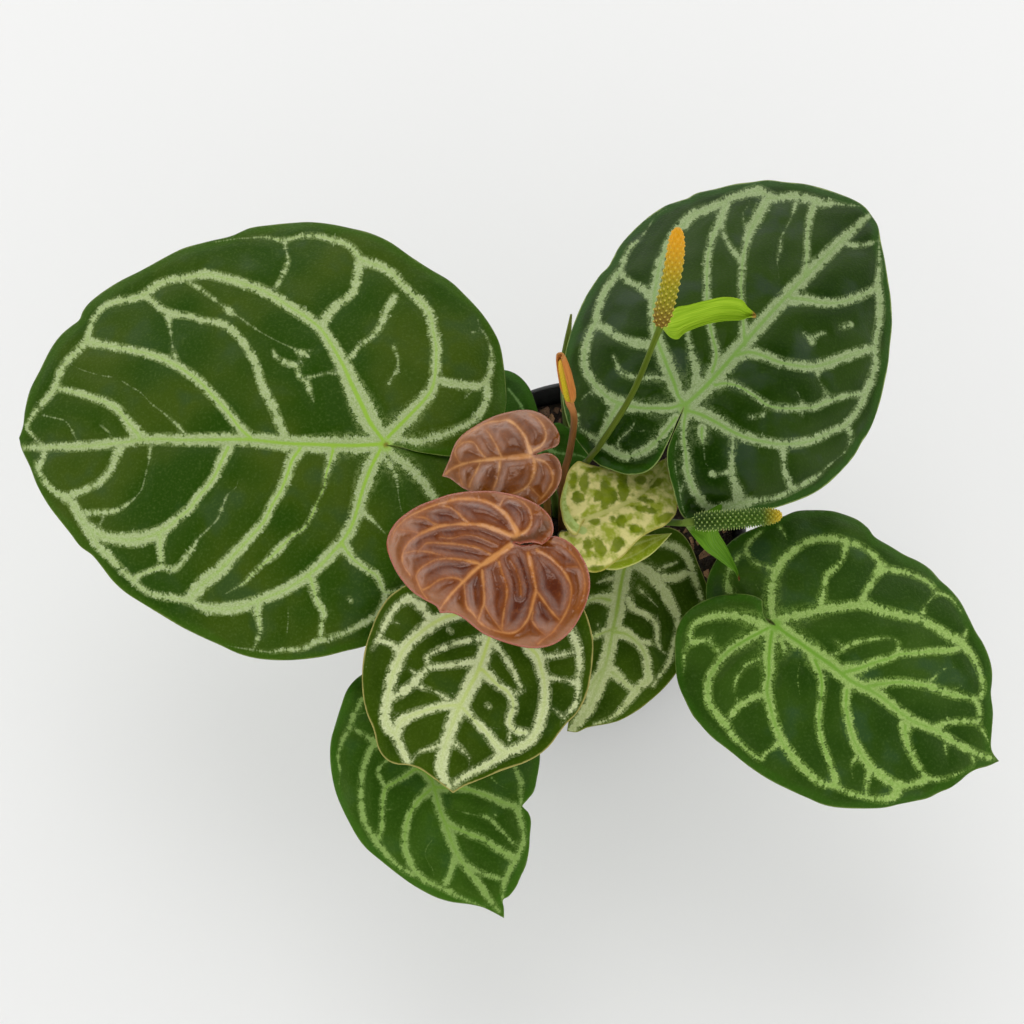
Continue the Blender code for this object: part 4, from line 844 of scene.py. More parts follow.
    "bronze": """
    511 545, 500 553, 490 560, 480 566, 472 573, 464 581, 455 590, 447 599, 440 609: 3.5 3.2 2.5 1.9 1.5;
    514 537, 500 531, 485 525.5, 470 524, 455 524, 440 526, 427 531, 417 536, 409 542, 404 550, 402 560,
        405 568, 410 575: 3 2 1.4 0.8;
    517 536, 515 528, 510 520, 503 512, 494 505, 485 501, 472 499, 458 499, 445 502, 432 506, 420 511,
        410 516, 402 522, 395 530, 391 540: 3 2 1.4 0.6;
    440 505, 450 507, 457 512, 463 518, 470 523: 0.8 1.3;
    415 517, 425 518, 433 523, 440 526: 0.8;
    400 530, 410 531, 420 534: 0.7;
    520 535, 527 530, 531 522, 531 512, 526 505, 519 500, 510 497, 500 496: 2 1.4 1 0.7;
    500 505, 503 499, 505 496: 1;
    531 515, 538 512: 0.7;
    490 554, 480 549, 468 546, 455 544, 440 543, 428 543, 422 547, 418 552: 1.2 0.8;
    405 553, 415 551, 428 552, 440 555, 448 558: 0.8;
    480 564, 468 561, 455 559, 445 558.5, 435 560, 427 564, 420 569, 416 576, 418 583, 422 592,
        427 599: 2 1.4 1.1 0.9;
    463 581, 455 578, 445 578, 437 581, 430 586, 423 590: 1.5 1;
    482 570, 483 580, 484 592, 484 603, 481 612, 478 621: 1.6 1.3;
    484 603, 488 612, 495 622, 502 631: 0.8;
    499 562, 502 572, 506 583, 507 594, 505 606, 503 618, 502 630: 1.5 1;
    464 583, 465 595, 467 607, 474 615, 479 622, 488 628, 500 632, 512 633, 520 629, 527 620, 531 610,
        534 598, 536 590, 534 578, 531 565, 528 553: 1 1 1.2 1.2 1.5 2 2.4 2.5;
    536 590, 543 600, 551 611, 559 620: 1.6 1.2;
    537 550, 548 556, 558 565, 566 575, 571 586, 571 597, 568 608, 563 618, 559 624, 552 633, 545 638,
        538 644: 2.2 1.7 1.2 0.8;
    533 612, 532 620, 537 628, 545 635: 0.8;
    547 541, 558 543, 568 550, 577 560, 583 572, 585 585, 583 597, 578 608: 0.9 0.6;
    567 567, 577 567: 0.6;
    510 560, 516 570, 520 582, 521 595: 0.6;
    497 545, 488 541, 478 537, 465 535, 452 538, 440 537: 0.7
    """,
    "back": """
    540 446, 525 449, 505 455, 485 462, 465 469, 450 474: 3 2 1;
    540 440, 532 426, 520 404, 508 388: 2 1;
    545 447, 556 440, 565 433: 1.6 1;
    544 448, 560 453, 578 455, 586 458: 2 1;
    541 451, 530 465, 516 478: 1.6 1
    """,
    "pale": """
    584 520, 600 514, 615 508, 628 502, 640 494, 650 485, 658 475, 664 466: 2.5 2 1
    """,
    "pale_under": """
    606 560, 620 551, 636 544, 655 538, 671 534: 1.6 1.2 0.8;
    606 563, 622 560, 640 552, 655 542, 668 535: 0.8
    """,
}

# The pale leaf's green islands: drawing middle, half-lengths across and down, and turn in degrees
ISLANDS = drawn_points("""
    573 481 4 7 0, 578 498 6 6 0, 584 484 5 8 0, 606 495 6 14 0, 605 485 4 6 0, 597 497 3 5 0,
    612 497 5 8 0, 623 478 5 4 0, 623 490 5 12 0, 640 480 6 4 30, 592 470 6 3 0, 565 488 2 6 0,
    565 508 2 6 -20, 575 521 2 3 0, 621 522 5 6 0, 612 519 3 3 0, 595 522 5 3 0, 636 530 8 4 30,
    645 510 12 3 10, 617 545 5 8 40, 600 548 6 9 -20, 588 546 4 8 0, 595 556 3 3 0, 566 535 3 3 0,
    645 500 10 2 20, 655 483 6 4 -30, 664 519 8 4 -30, 598 569 8 2 0
""")


def line_of_sight(px, py):
    """The direction from the eye through a drawing point."""
    across = (px - DRAWING_MIDDLE[0]) / VIEW_FOCAL
    down = (py - DRAWING_MIDDLE[1]) / VIEW_FOCAL
    ahead = math.cos(VIEW_ELEVATION) - math.sin(VIEW_ELEVATION) * down
    rise = -math.sin(VIEW_ELEVATION) - math.cos(VIEW_ELEVATION) * down
    return across, ahead, rise


def eye():
    """Where the drawing is seen from."""
    x, y, z = (-VIEW_DISTANCE * part for part in line_of_sight(*RIM_ON_DRAWING))
    return x, y, z + POT_HEIGHT


def real_point(px, py, z):
    """The real point of height z that a drawing point shows. Arrays work as well as single numbers."""
    x, y, high = eye()
    across, ahead, rise = line_of_sight(px, py)
    reach = (z - high) / rise
    return x + reach * across, y + reach * ahead, z


def smooth_path(points, steps):
    """Even steps along the smooth curve through the points."""
    pts = np.array(points, float)
    ends = np.vstack([2 * pts[0] - pts[1], pts, 2 * pts[-1] - pts[-2]])
    t = np.linspace(0, 1, CURVE_STEPS, endpoint=False)[:, None]
    fine = []
    for a, b, c, d in zip(ends, ends[1:], ends[2:], ends[3:]):
        bend = (2 * a - 5 * b + 4 * c - d) * t**2 + (3 * b - a - 3 * c + d) * t**3
        fine.append(b + 0.5 * ((c - a) * t + bend))
    fine = np.vstack([*fine, pts[-1:]])
    along = np.concatenate([[0], np.cumsum(np.linalg.norm(np.diff(fine, axis=0), axis=1))])
    at = np.linspace(0, along[-1], steps + 1)
    return np.column_stack([np.interp(at, along, column) for column in fine.T])


def length_of(points):
    """The length of the line through the points."""
    return float(np.linalg.norm(np.diff(np.array(points, float), axis=0), axis=1).sum())


def soft_step(low, high, value):
    """Runs softly from 0 at the low value to 1 at the high one."""
    t = np.clip((value - low) / (high - low), 0, 1)
    return t * t * (3 - 2 * t)


def waves(x, y, size, seed):
    """A smooth uneven surface between about -1 and 1, with bumps of about the size."""
    total = 0.0
    # Five waves of different lengths, each turned a good way round from the one before
    for number in range(5):
        turn = seed + 2.4 * number
        step = 2 * math.pi / size * (0.7 + 0.17 * number)
        total = total + np.sin(step * (x * math.cos(turn) + y * math.sin(turn)) + 3.1 * turn)
    return total / 3


def new_object(name, points, faces, materials, face_material=None, fields=None, smooth=True):
    """A mesh object of points in millimetres. Its material reads the fields of numbers for each point."""
    mesh = bpy.data.meshes.new(name)
    mesh.from_pydata((np.asarray(points, float) * MM).tolist(), [], faces)
    for material in materials:
        mesh.materials.append(material)
    mesh.polygons.foreach_set("use_smooth", [smooth] * len(mesh.polygons))
    if face_material is not None:
        mesh.polygons.foreach_set("material_index", face_material)
    for key, values in (fields or {}).items():
        field = mesh.attributes.new(key, "FLOAT", "POINT")
        field.data.foreach_set("value", np.asarray(values, np.float32))
    mesh.update()
    obj = bpy.data.objects.new(name, mesh)
    bpy.context.scene.collection.objects.link(obj)
    return obj


def stand_for(obj, node, slot):
    """The object is shown in place of the part's node. The slot is not used."""
    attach(obj, "root")
    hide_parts(node)
    return obj


def ring_faces(rows, sides):
    """Faces of a closed body made of a first point, rows of ring points and a last point."""
    end = 1 + rows * sides
    faces = []
    for side in range(sides):
        after = (side + 1) % sides
        faces.append((0, 1 + after, 1 + side))
        for low in range(1, end - sides, sides):
            faces.append((low + side, low + after, low + sides + after, low + sides + side))
        faces.append((end - sides + side, end - sides + after, end))
    return faces


def frames_along(path):
    """For each point of the path, two directions square to it that turn as little as they can."""
    ahead = np.gradient(path, axis=0)
    ahead /= np.linalg.norm(ahead, axis=1)[:, None]
    side = np.cross(ahead[0], (0.0, 1.0, 0.05))
    for way in ahead:
        side = side - way * side.dot(way)
        side /= np.linalg.norm(side)
        yield side, np.cross(way, side)


def tube(name, path, radii, sides, materials, relief=None):
    """A closed solid round the path, each ring's radii shaped by the relief."""
    turns = np.arange(sides) * 2 * math.pi / sides
    points = [path[:1]]
    for step, (side, other) in enumerate(frames_along(path)):
        radius = radii[step] * (relief(step, turns) if relief else np.ones(sides))
        ring = np.outer(radius * np.cos(turns), side) + np.outer(radius * np.sin(turns), other)
        points.append(path[step] + ring)
    points.append(path[-1:])
    part = np.linspace(0, 1, len(path))
    fields = {
        "along": np.concatenate([[0], np.repeat(part, sides), [1]]),
        "round": np.concatenate([[0], np.tile(np.arange(sides) / sides, len(path)), [0]]),
    }
    return new_object(name, np.vstack(points), ring_faces(len(path), sides), materials, fields=fields)


def blade_outline(key, rays):
    """The turn of each ray round the blade, counted from the tip, and its length on the drawing."""
    leaf = LEAVES[key]
    points = OUTLINES[key]
    tip = points.index(leaf["tip"])
    outline = np.vstack([smooth_path(points[: tip + 1], rays), smooth_path(points[tip:], rays)[1:]])
    out = outline - np.array(leaf["joint"], float)
    turn = np.unwrap(np.arctan2(out[:, 1], out[:, 0]))
    turn = turn - turn[rays]
    # Each ray turns on from the one before it, so that the blade doesn't fold on itself by the notch.
    growing = np.sign(turn[-1])
    least = LEAST_TURN / rays * np.arange(rays + 1)
    turn[rays:] = growing * (np.maximum.accumulate(growing * turn[rays:] - least) + least)
    first = np.maximum.accumulate(-growing * turn[rays::-1] - least) + least
    turn[: rays + 1] = -growing * first[::-1]
    return turn, np.hypot(out[:, 0], out[:, 1])


def blade_height(key, px, py, turn, reach):
    """The height of the blade's top at a drawing point."""
    leaf = LEAVES[key]
    x0, y0, _ = real_point(*leaf["joint"], leaf["height"])
    x1, y1, _ = real_point(*leaf["tip"], leaf["height"])
    length = math.hypot(x1 - x0, y1 - y0)
    axis = ((x1 - x0) / length, (y1 - y0) / length)

    def local(qx, qy):
        """Millimetres from the joint toward the tip, and across."""
        x, y, _ = real_point(qx, qy, leaf["height"])
        return (x - x0) * axis[0] + (y - y0) * axis[1], (y - y0) * axis[0] - (x - x0) * axis[1]

    border = local(*np.array(OUTLINES[key], float).T)
    half = np.abs(border[1]).max()
    back = max(-border[0].min(), 1.0)
    along, across = local(px, py)
    away = np.hypot(along, across)
    tip_drop, lobe_drop, side_drop = leaf["drop"]
    z = leaf["height"] + leaf["slope"][0] * along + leaf["slope"][1] * across
    z = z - tip_drop * np.clip(along / length, 0, None) ** 2
    z = z - lobe_drop * np.clip(-along / back, 0, None) ** 2
    z = z - side_drop * (across / half) ** 2
    near_joint = np.minimum(1, away / LOBE_REACH)
    z = z + leaf["channel"] * (1 - np.exp(-np.abs(across) / CHANNEL_HALF)) * near_joint
    high, count, phase = leaf["wave"]
    z = z + high * np.sin(count * turn + phase) * reach**3 * near_joint
    first_turn = blade_outline(key, 2)[0][0]
    lift = np.where(turn * first_turn > 0, *leaf["lobes"])
    return z + lift * soft_step(*LOBES_RISE, np.abs(turn)) * near_joint


class Vein:
    """One vein: points along its middle on the drawing, with its half-width and its turn at each."""

    def __init__(self, blade, points, widths):
        corners = drawn_points(points)
        self.path = smooth_path(corners, max(2, round(length_of(corners) / VEIN_STEP)))
        halves = [float(value) for value in widths.split()]
        share = np.linspace(0, 1, len(self.path))
        self.half = np.interp(share, np.linspace(0, 1, len(halves)), halves)
        self.turn = blade.turn_of(self.path)[0]
        self.main = halves[0] >= MAIN_VEIN

    def lines(self):
        """Points along the middle and along both edges."""
        ahead = np.gradient(self.path, axis=0)
        ahead /= np.linalg.norm(ahead, axis=1)[:, None]
        side = np.column_stack([-ahead[:, 1], ahead[:, 0]]) * np.maximum(self.half, VEIN_CLEAR)[:, None]
        return np.vstack([self.path, self.path + side, self.path - side])


class Blade:
    """A leaf blade about its joint: on the drawing, and laid flat with its lobes apart."""

    def __init__(self, key, grid):
        self.key = key
        self.leaf = LEAVES[key]
        self.grid = grid
        self.joint = np.array(self.leaf["joint"], float)
        to_tip = np.array(self.leaf["tip"]) - self.joint
        self.to_tip = math.atan2(to_tip[1], to_tip[0])
        self.turn, self.size = blade_outline(key, round(length_of(OUTLINES[key]) / 2 / MARGIN_STEP))
        self.growing = np.sign(self.turn[-1])
        self.middle = (self.turn[0] + self.turn[-1]) / 2
        self.squeeze = min(1.0, WIDEST_TURN / (np.ptp(self.turn) / 2))
        self.veins = [Vein(self, *vein.split(":")) for vein in VEINS[key].split(";")]

    def closing(self, reach):
        """How much narrower than laid flat the lobes are drawn near the joint."""
        return 1 - self.leaf["notch"] * np.clip(1 - reach / NOTCH_REACH, 0, 1)

    def turn_of(self, points):
        """The turn and the reach of drawing points in a row, each one turning on from the one before."""
        out = points - self.joint
        reach = np.hypot(out[:, 0], out[:, 1])
        turn = np.unwrap(np.arctan2(out[:, 1], out[:, 0]) - self.to_tip)
        farthest = turn[reach.argmax()]
        turn -= 2 * math.pi * np.round(farthest / (2 * math.pi))
        return turn / self.closing(reach), reach

    def flat(self, turn, reach):
        """Places on the flat blade."""
        angle = (turn - self.middle) * self.squeeze
        return np.column_stack([reach * np.cos(angle), reach * np.sin(angle)])

    def drawn(self, turn, reach):
        """Places on the drawing."""
        angle = self.to_tip + turn * self.closing(reach)
        return self.joint + np.column_stack([reach * np.cos(angle), reach * np.sin(angle)])

    def margin_at(self, turn):
        """How far the margin lies from the joint."""
        return np.interp(self.growing * turn, self.growing * self.turn, self.size)

    def border(self):
        """The flat margin: from the joint along one side of the notch, round the blade and back."""
        margin = self.flat(self.turn, self.size)
        ends = []
        for corner in (margin[0], margin[-1]):
            steps = max(1, round(np.linalg.norm(corner) / MARGIN_STEP))
            ends.append(corner * np.linspace(0, 1, steps, endpoint=False)[:, None])
        return np.vstack([ends[0], margin, ends[1][:0:-1]])

    def flat_mesh(self):
        """Points and triangles of the flat blade, finer along the veins."""
        border = self.border()
        lines = []
        for vein in self.veins:
            turn, reach = self.turn_of(vein.lines())
            fits = reach < self.margin_at(turn) - VEIN_CLEAR
            lines.append(self.flat(turn, reach)[fits])
        lines = thinned(np.vstack(lines), VEIN_CLEAR)
        low = border.min(axis=0)
        high = border.max(axis=0)
        rows = np.arange(low[1], high[1], self.grid * math.sqrt(0.75))
        grid = []
        for row, y in enumerate(rows):
            x = np.arange(low[0] + (row % 2) * self.grid / 2, high[0], self.grid)
            grid.append(np.column_stack([x, np.full(len(x), y)]))
        grid = np.vstack(grid)
        turn, reach = self.polar(grid)
        grid = grid[reach < self.margin_at(turn) - VEIN_CLEAR]
        taken = {tuple(cell) for cell in np.round(lines / (self.grid / 2)).astype(int)}
        clear = [tuple(cell) not in taken for cell in np.round(grid / (self.grid / 2)).astype(int)]
        inner = np.vstack([lines, grid[clear]])
        inner = inner[gap_to(inner, border) > VEIN_CLEAR]
        count = len(border)
        edges = [(index, (index + 1) % count) for index in range(count)]
        points = np.vstack([border, inner]).tolist()
        points, _, faces, *_ = delaunay_2d_cdt(points, edges, [], 1, 1e-4)
        return np.array([tuple(point) for point in points]), np.array(faces), border

    def polar(self, flat):
        """The turn and the reach of flat points."""
        angle = np.arctan2(flat[:, 1], flat[:, 0])
        return angle / self.squeeze + self.middle, np.hypot(flat[:, 0], flat[:, 1])

    def vein_fields(self, drawn, turn, reach):
        """How far each point is outside the nearest vein and its core, its place along it, and how bold."""
        outside = np.full(len(drawn), VEIN_FAR)
        core = np.full(len(drawn), VEIN_FAR)
        along = np.zeros(len(drawn))
        bold = np.zeros(len(drawn))
        for number, vein in enumerate(self.veins):
            low = vein.path.min(axis=0) - VEIN_FAR - vein.half.max()
            high = vein.path.max(axis=0) + VEIN_FAR + vein.half.max()
            near = np.flatnonzero(((drawn > low) & (drawn < high)).all(axis=1))
            if not len(near):
                continue
            gaps = np.hypot(
                drawn[near, 0, None].astype(np.float32) - vein.path[None, :, 0].astype(np.float32),
                drawn[near, 1, None].astype(np.float32) - vein.path[None, :, 1].astype(np.float32),
            )
            nearest = (gaps - vein.half[None].astype(np.float32)).argmin(axis=1)
            gap = gaps[np.arange(len(near)), nearest]
            half = vein.half[nearest]
            by_joint = reach[near] < half + BY_JOINT
            same_lobe = by_joint | (np.abs(turn[near] - vein.turn[nearest]) < LOBE_TURN)
            closer = same_lobe & (gap - half < outside[near])
            at = near[closer]
            outside[at] = (gap - half)[closer]
            along[at] = nearest[closer] * VEIN_STEP + number * VEIN_APART
            bold[at] = np.clip(half[closer] / BOLD_VEIN, 0, 1)
            if vein.main:
                inner = np.where(same_lobe, gap - CORE_SHARE * half, VEIN_FAR)
                core[near] = np.minimum(core[near], inner)
        return outside, core, along, bold


def thinned(points, cell):
    """One point for each cell of a fine grid."""
    _, first = np.unique(np.round(points / cell).astype(int), axis=0, return_index=True)
    return points[np.sort(first)]


def gap_to(points, border):
    """How far each point lies from the nearest border point."""
    gaps = np.empty(len(points))
    for start in range(0, len(points), GAPS_AT_ONCE):
        part = slice(start, start + GAPS_AT_ONCE)
        gaps[part] = np.sqrt(((points[part, None] - border[None]) ** 2).sum(axis=2)).min(axis=1)
    return gaps


def islands_field(drawn):
    """How far each point lies outside the pale ground between the leaf's green islands."""
    nearest = np.full(len(drawn), VEIN_FAR)
    for x, y, wide, high, degrees in ISLANDS:
        turn = math.radians(degrees)
        out = drawn - (x, y)
        along = (out[:, 0] * math.cos(turn) + out[:, 1] * math.sin(turn)) / wide
        across = (out[:, 1] * math.cos(turn) - out[:, 0] * math.sin(turn)) / high
        nearest = np.minimum(nearest, (np.hypot(along, across) - 1) * min(wide, high))
    return -nearest


def leaf(key, grid, top, under, slot):
    """The blade as a closed sheet, quilted between its veins, thin at the margin and ribbed below."""
    blade = Blade(key, grid)
    flat, faces, border = blade.flat_mesh()
    turn, reach = blade.polar(flat)
    share = np.clip(reach / blade.margin_at(turn), 0, 1)
    drawn = blade.drawn(turn, reach)
    outside, core, along, bold = blade.vein_fields(drawn, turn, reach)
    edge = gap_to(flat, border)
    fields = {"vein": outside, "core": core, "along": along, "bold": bold}
    fields |= {"edge": edge, "reach": reach, "share": share}
    if key == "pale":
        fields["vein"] = islands_field(drawn)
        fields["core"] = outside
    if key in CURLS:
        path, half = CURLS[key]
        fields["curl"] = gap_to(drawn, smooth_path(path, 40)) - half
    z = blade_height(key, drawn[:, 0], drawn[:, 1], turn, share)
    x, y, _ = real_point(drawn[:, 0], drawn[:, 1], z)
    inner = soft_step(0, MARGIN_BAND, edge)
    quilt = QUILT.get(key, PLAIN_QUILT) * soft_step(0, QUILT_BAND, outside)
    quilt -= SUNK_VEIN * soft_step(0, SUNK_BAND, -outside)
    swell = SWELL * waves(x, y, SWELL_SIZE, len(key)) * soft_step(0, SWELL_FROM, reach)
    level = z + swell * inner
    body = np.maximum(inner, 1 - soft_step(0, JOINT_BODY, reach))
    rib = soft_step(*RIB_BAND, -outside)
    high = level + quilt * inner
    low = level - MARGIN_THICK - BODY_THICK * body - RIB_DEPTH * rib * body
    points = np.vstack([np.column_stack([x, y, high]), np.column_stack([x, y, low])])
    corners = points[faces]
    if np.cross(corners[:, 1] - corners[:, 0], corners[:, 2] - corners[:, 0])[:, 2].sum() < 0:
        faces = faces[:, ::-1]
    count = len(flat)
    ends = np.concatenate([faces[:, [0, 1]], faces[:, [1, 2]], faces[:, [2, 0]]])
    both_ways = {tuple(pair) for pair in ends.tolist()}
    rim = [(a, b) for a, b in ends.tolist() if (b, a) not in both_ways]
    walls = [(b, a, a + count, b + count) for a, b in rim]
    all_faces = [*faces.tolist(), *walls, *(faces[:, ::-1] + count).tolist()]
    kinds = [0] * (len(faces) + len(walls)) + [1] * len(faces)
    doubled = {name: np.tile(values, 2) for name, values in fields.items()}
    obj = new_object(f"leaf_{key}", points, all_faces, (top, under), kinds, doubled)
    return stand_for(obj, f"blade_{key}", slot)


def stalk_path(foot, points, steps):
    """Straight up out of the mix, then on through the points."""
    upright = smooth_path([(*foot, MIX_TOP + STRAIGHT), *points], steps - 1)
    return np.vstack([[(*foot, ROOTED_AT)], upright])


def knee(part, radii):
    """The radii with the thicker joint just below the blade."""
    return radii * (1 + KNEE * np.exp(-(((part - KNEE_AT) / KNEE_LENGTH) ** 2)))


def leaf_stalk(key, material, slot):
    """A grooved stalk that ends in a knee under its blade's joint."""
    foot, radius, bends = LEAF_STALKS[key]
    leaf_form = LEAVES[key]
    x, y, z = real_point(*leaf_form["joint"], leaf_form["height"])
    last = np.array(bends[-1], float)
    lean = math.hypot(x - last[0], y - last[1]) / math.dist((x, y, z), last)
    top = (x, y, z - BLADE_GAP - radius * (lean + abs(leaf_form["slope"][0])))
    path = stalk_path(foot, [*bends, top], STALK_STEPS)
    part = np.linspace(0, 1, len(path))
    radii = knee(part, radius * np.interp(part, [0, 0.9, 1], [LEAF_STALK_FOOT, 0.92, 0.95]))
    obj = tube(f"stem_{key}", path, radii, STALK_SIDES, [material], grooved)
    return stand_for(obj, f"stalk_{key}", slot)


def grooved(step, turns):
    """A shallow groove along one side of a leaf stalk, and a slight unevenness."""
    groove = GROOVE * np.exp(-(((turns - GROOVE_TURN) / GROOVE_HALF) ** 2))
    return 1 - groove + STALK_RIPPLE * np.sin(3 * turns + 0.23 * step)


def flower_stalk(number, material, slot):
    """A round stalk that runs straight into its spadix."""
    foot, radius, points = FLOWER_STALKS[number]
    top, after = smooth_path([real_point(*point) for point in SPADICES[number][0]], 20)[:2]
    way = (after - top) / np.linalg.norm(after - top)
    path = stalk_path(foot, [*(real_point(*point) for point in points), top - NECK * way], STALK_STEPS)
    path = np.vstack([path, top + 0.5 * way])
    part = np.linspace(0, 1, len(path))
    radii = radius * np.interp(part, [0, 0.95, 1], [FLOWER_STALK_FOOT, 0.9, 1.15])
    obj = tube(f"flower_stem_{number}", path, radii, STALK_SIDES, [material])
    return stand_for(obj, f"flower_stalk_{number}", slot)


def rolled_leaf(material, slot):
    """A new leaf, still rolled up on its stalk."""
    foot, points, sizes = ROLLED_LEAF
    path = stalk_path(foot, points, STALK_STEPS)
    gaps = np.concatenate([[0], np.cumsum(np.linalg.norm(np.diff(path, axis=0), axis=1))])
    radii = np.interp(gaps, np.linspace(0, gaps[-1], len(sizes)), sizes)

    def rolled(step, turns):
        """The free edge of the rolled blade winds round the upper part."""
        along = step / len(path)
        wound = (turns / (2 * math.pi) + 0.8 * along) % 1
        return 1 + ROLL_STEP * (wound - 0.5) * float(soft_step(*ROLL_FROM, along))

    obj = tube("young_leaf", path, radii, ROLL_SIDES, [material], rolled)
    return stand_for(obj, "rolled_leaf", slot)


def spadix(number, material, slot):
    """A spike of small diamond florets, each with a raised stigma, in alternating rows."""
    ends, radius, rows, floret = SPADICES[number]
    path = smooth_path([real_point(*point) for point in ends], SPADIX_STEPS)
    part = np.linspace(0, 1, len(path))
    # A little narrower at the foot, a slow taper, and a round tip
    radii = radius * np.minimum(1, 0.8 + 2 * part) * np.sqrt(1 - 0.94 * part**12) * (1 - 0.12 * part)
    raised = []

    def florets(step, turns):
        """Two sets of diamonds, each between those of the other."""
        along = rows * part[step]
        round_share = FLORETS_ROUND * turns / (2 * math.pi)
        first = petal(round_share) * petal(along)
        second = petal(round_share + 0.5) * petal(along + 0.5)
        bump = np.maximum(first, second)
        raised.append(bump)
        return 1 + floret * (bump**0.6 - 0.5 + STIGMA * bump**6)

    obj = tube(f"spike_{number}", path, radii, SPADIX_SIDES, [material], florets)
    field = obj.data.attributes.new("stigma", "FLOAT", "POINT")
    field.data.foreach_set("value", np.concatenate([[0], *raised, [0]]).astype(np.float32))
    return stand_for(obj, f"spadix_{number}", slot)


def petal(share):
    """Rises to 1 at every whole number."""
    return (0.5 + 0.5 * np.cos(2 * math.pi * share)) ** 0.8


def sheet(name, top, bottom, materials, fields):
    """A closed sheet between two grids of points."""
    high, wide = top.shape[:2]
    count = high * wide
    index = np.arange(count).reshape(high, wide)
    quads = np.stack([index[:-1, :-1], index[1:, :-1], index[1:, 1:], index[:-1, 1:]], axis=-1).reshape(-1, 4)
    edge = [*index[:, 0], *index[-1, 1:], *index[-2::-1, -1], *index[0, -2:0:-1]]
    walls = [(a, a + count, b + count, b) for a, b in zip(edge, [*edge[1:], edge[0]])]
    faces = [*quads.tolist(), *walls, *(quads[:, ::-1] + count).tolist()]
    points = np.vstack([top.reshape(-1, 3), bottom.reshape(-1, 3)])
    doubled = {key: np.tile(values.ravel(), 2) for key, values in fields.items()}
    obj = new_object(name, points, faces, materials, fields=doubled)
    turn_outward(obj)
    return obj


def turn_outward(obj):
    """Turns every face round where the closed mesh faces inward."""
    mesh = obj.data
    mesh.calc_loop_triangles()
    corners = np.empty(len(mesh.vertices) * 3, np.float32)
    mesh.vertices.foreach_get("co", corners)
    triangles = np.empty(len(mesh.loop_triangles) * 3, np.int32)
    mesh.loop_triangles.foreach_get("vertices", triangles)
    first, second, third = np.moveaxis(corners.reshape(-1, 3)[triangles.reshape(-1, 3)].astype(float), 1, 0)
    if (first * np.cross(second, third)).sum() < 0:
        mesh.flip_normals()


def spathe(number, material, slot):
    """A strap with low ridges along it, hooded at the stalk and pinched to a dry point."""
    edges = SPATHES[number]
    upper = smooth_path([real_point(*point) for point in edges["upper"]], SPATHE_STEPS)
    lower = smooth_path([real_point(*point) for point in edges["lower"]], SPATHE_STEPS)
    across = np.linspace(0, 1, SPATHE_COLUMNS)[:, None, None]
    along = np.linspace(0, 1, SPATHE_STEPS + 1)[None, :, None]
    top = upper[None] + (lower - upper)[None] * across
    # The ridges run out at both ends
    fade = np.sin(math.pi * np.clip(along * 1.02, 0, 1)) ** 0.4
    top[..., 2] -= edges["sag"] * (4 * across * (1 - across))[..., 0]
    ridges = SPATHE_RIDGE * np.cos(2 * math.pi * SPATHE_RIDGES * across) * fade
    top[..., 2] += ridges[..., 0]
    bottom = top.copy()
    # Thin at both edges
    thick = SPATHE_THICK * (0.35 + 0.65 * np.sin(math.pi * across) ** 0.5)
    bottom[..., 2] -= (thick + np.zeros_like(along))[..., 0]
    share = np.broadcast_to(along[..., 0], top.shape[:2])
    side = np.broadcast_to(across[..., 0], top.shape[:2])
    obj = sheet(f"flower_sheath_{number}", top, bottom, [material], {"along": share, "across": side})
    return stand_for(obj, f"spathe_{number}", slot)


def bud_spathe(material, slot):
    """The second flower's spathe, still wrapped round its spadix, open on one side."""
    low, middle, high = (np.array(real_point(*point)) for point in SPADICES["2"][0])
    foot = low + (middle - low) * BUD_ENDS[0]
    tip = high + (high - middle) * BUD_ENDS[1]
    path = smooth_path([foot, middle, tip], BUD_STEPS)
    part = np.linspace(0, 1, len(path))
    radii = BUD_WRAP * np.sqrt(1 - 0.9 * part**3) * np.minimum(1, 0.82 + part)
    turns = np.linspace(BUD_OPENING / 2, 2 * math.pi - BUD_OPENING / 2, BUD_SIDES)
    across = np.linspace(0, 1, BUD_SIDES)
    to_eye = np.array(eye()) - middle
    inside = []
    outside = []
    for point, radius, (side, other) in zip(path, radii, frames_along(path)):
        facing = turns + math.atan2(other.dot(to_eye), side.dot(to_eye)) + BUD_TURNED
        ways = np.outer(np.cos(facing), side) + np.outer(np.sin(facing), other)
        ridge = 1 + BUD_RIDGE * np.cos(2 * math.pi * BUD_RIDGES * across)[:, None]
        inside.append(point + radius * ways)
        outside.append(point + (radius + BUD_THICK) * ridge * ways)
    along = np.repeat(part[:, None], BUD_SIDES, axis=1)
    fields = {"along": along, "across": np.repeat(across[None], len(path), axis=0)}
    obj = sheet("flower_sheath_2", np.array(outside), np.array(inside), [material], fields)
    return stand_for(obj, "spathe_2", slot)


def lathe(name, profile, sides, centre, materials, relief=None):
    """A closed solid of revolution. The profile runs from the axis at the bottom round to that at the top."""
    x, y = centre
    turns = np.arange(sides) * 2 * math.pi / sides
    points = [[(x, y, profile[0][1])]]
    for radius, z in profile[1:-1]:
        out, up = relief(turns, radius, z) if relief else (0.0, 0.0)
        wide = radius + out + np.zeros(sides)
        ring = [x + wide * np.cos(turns), y + wide * np.sin(turns), z + up + np.zeros(sides)]
        points.append(np.column_stack(ring))
    points.append([(x, y, profile[-1][1])])
    obj = new_object(name, np.vstack(points), ring_faces(len(profile) - 2, sides), materials)
    turn_outward(obj)
    return obj


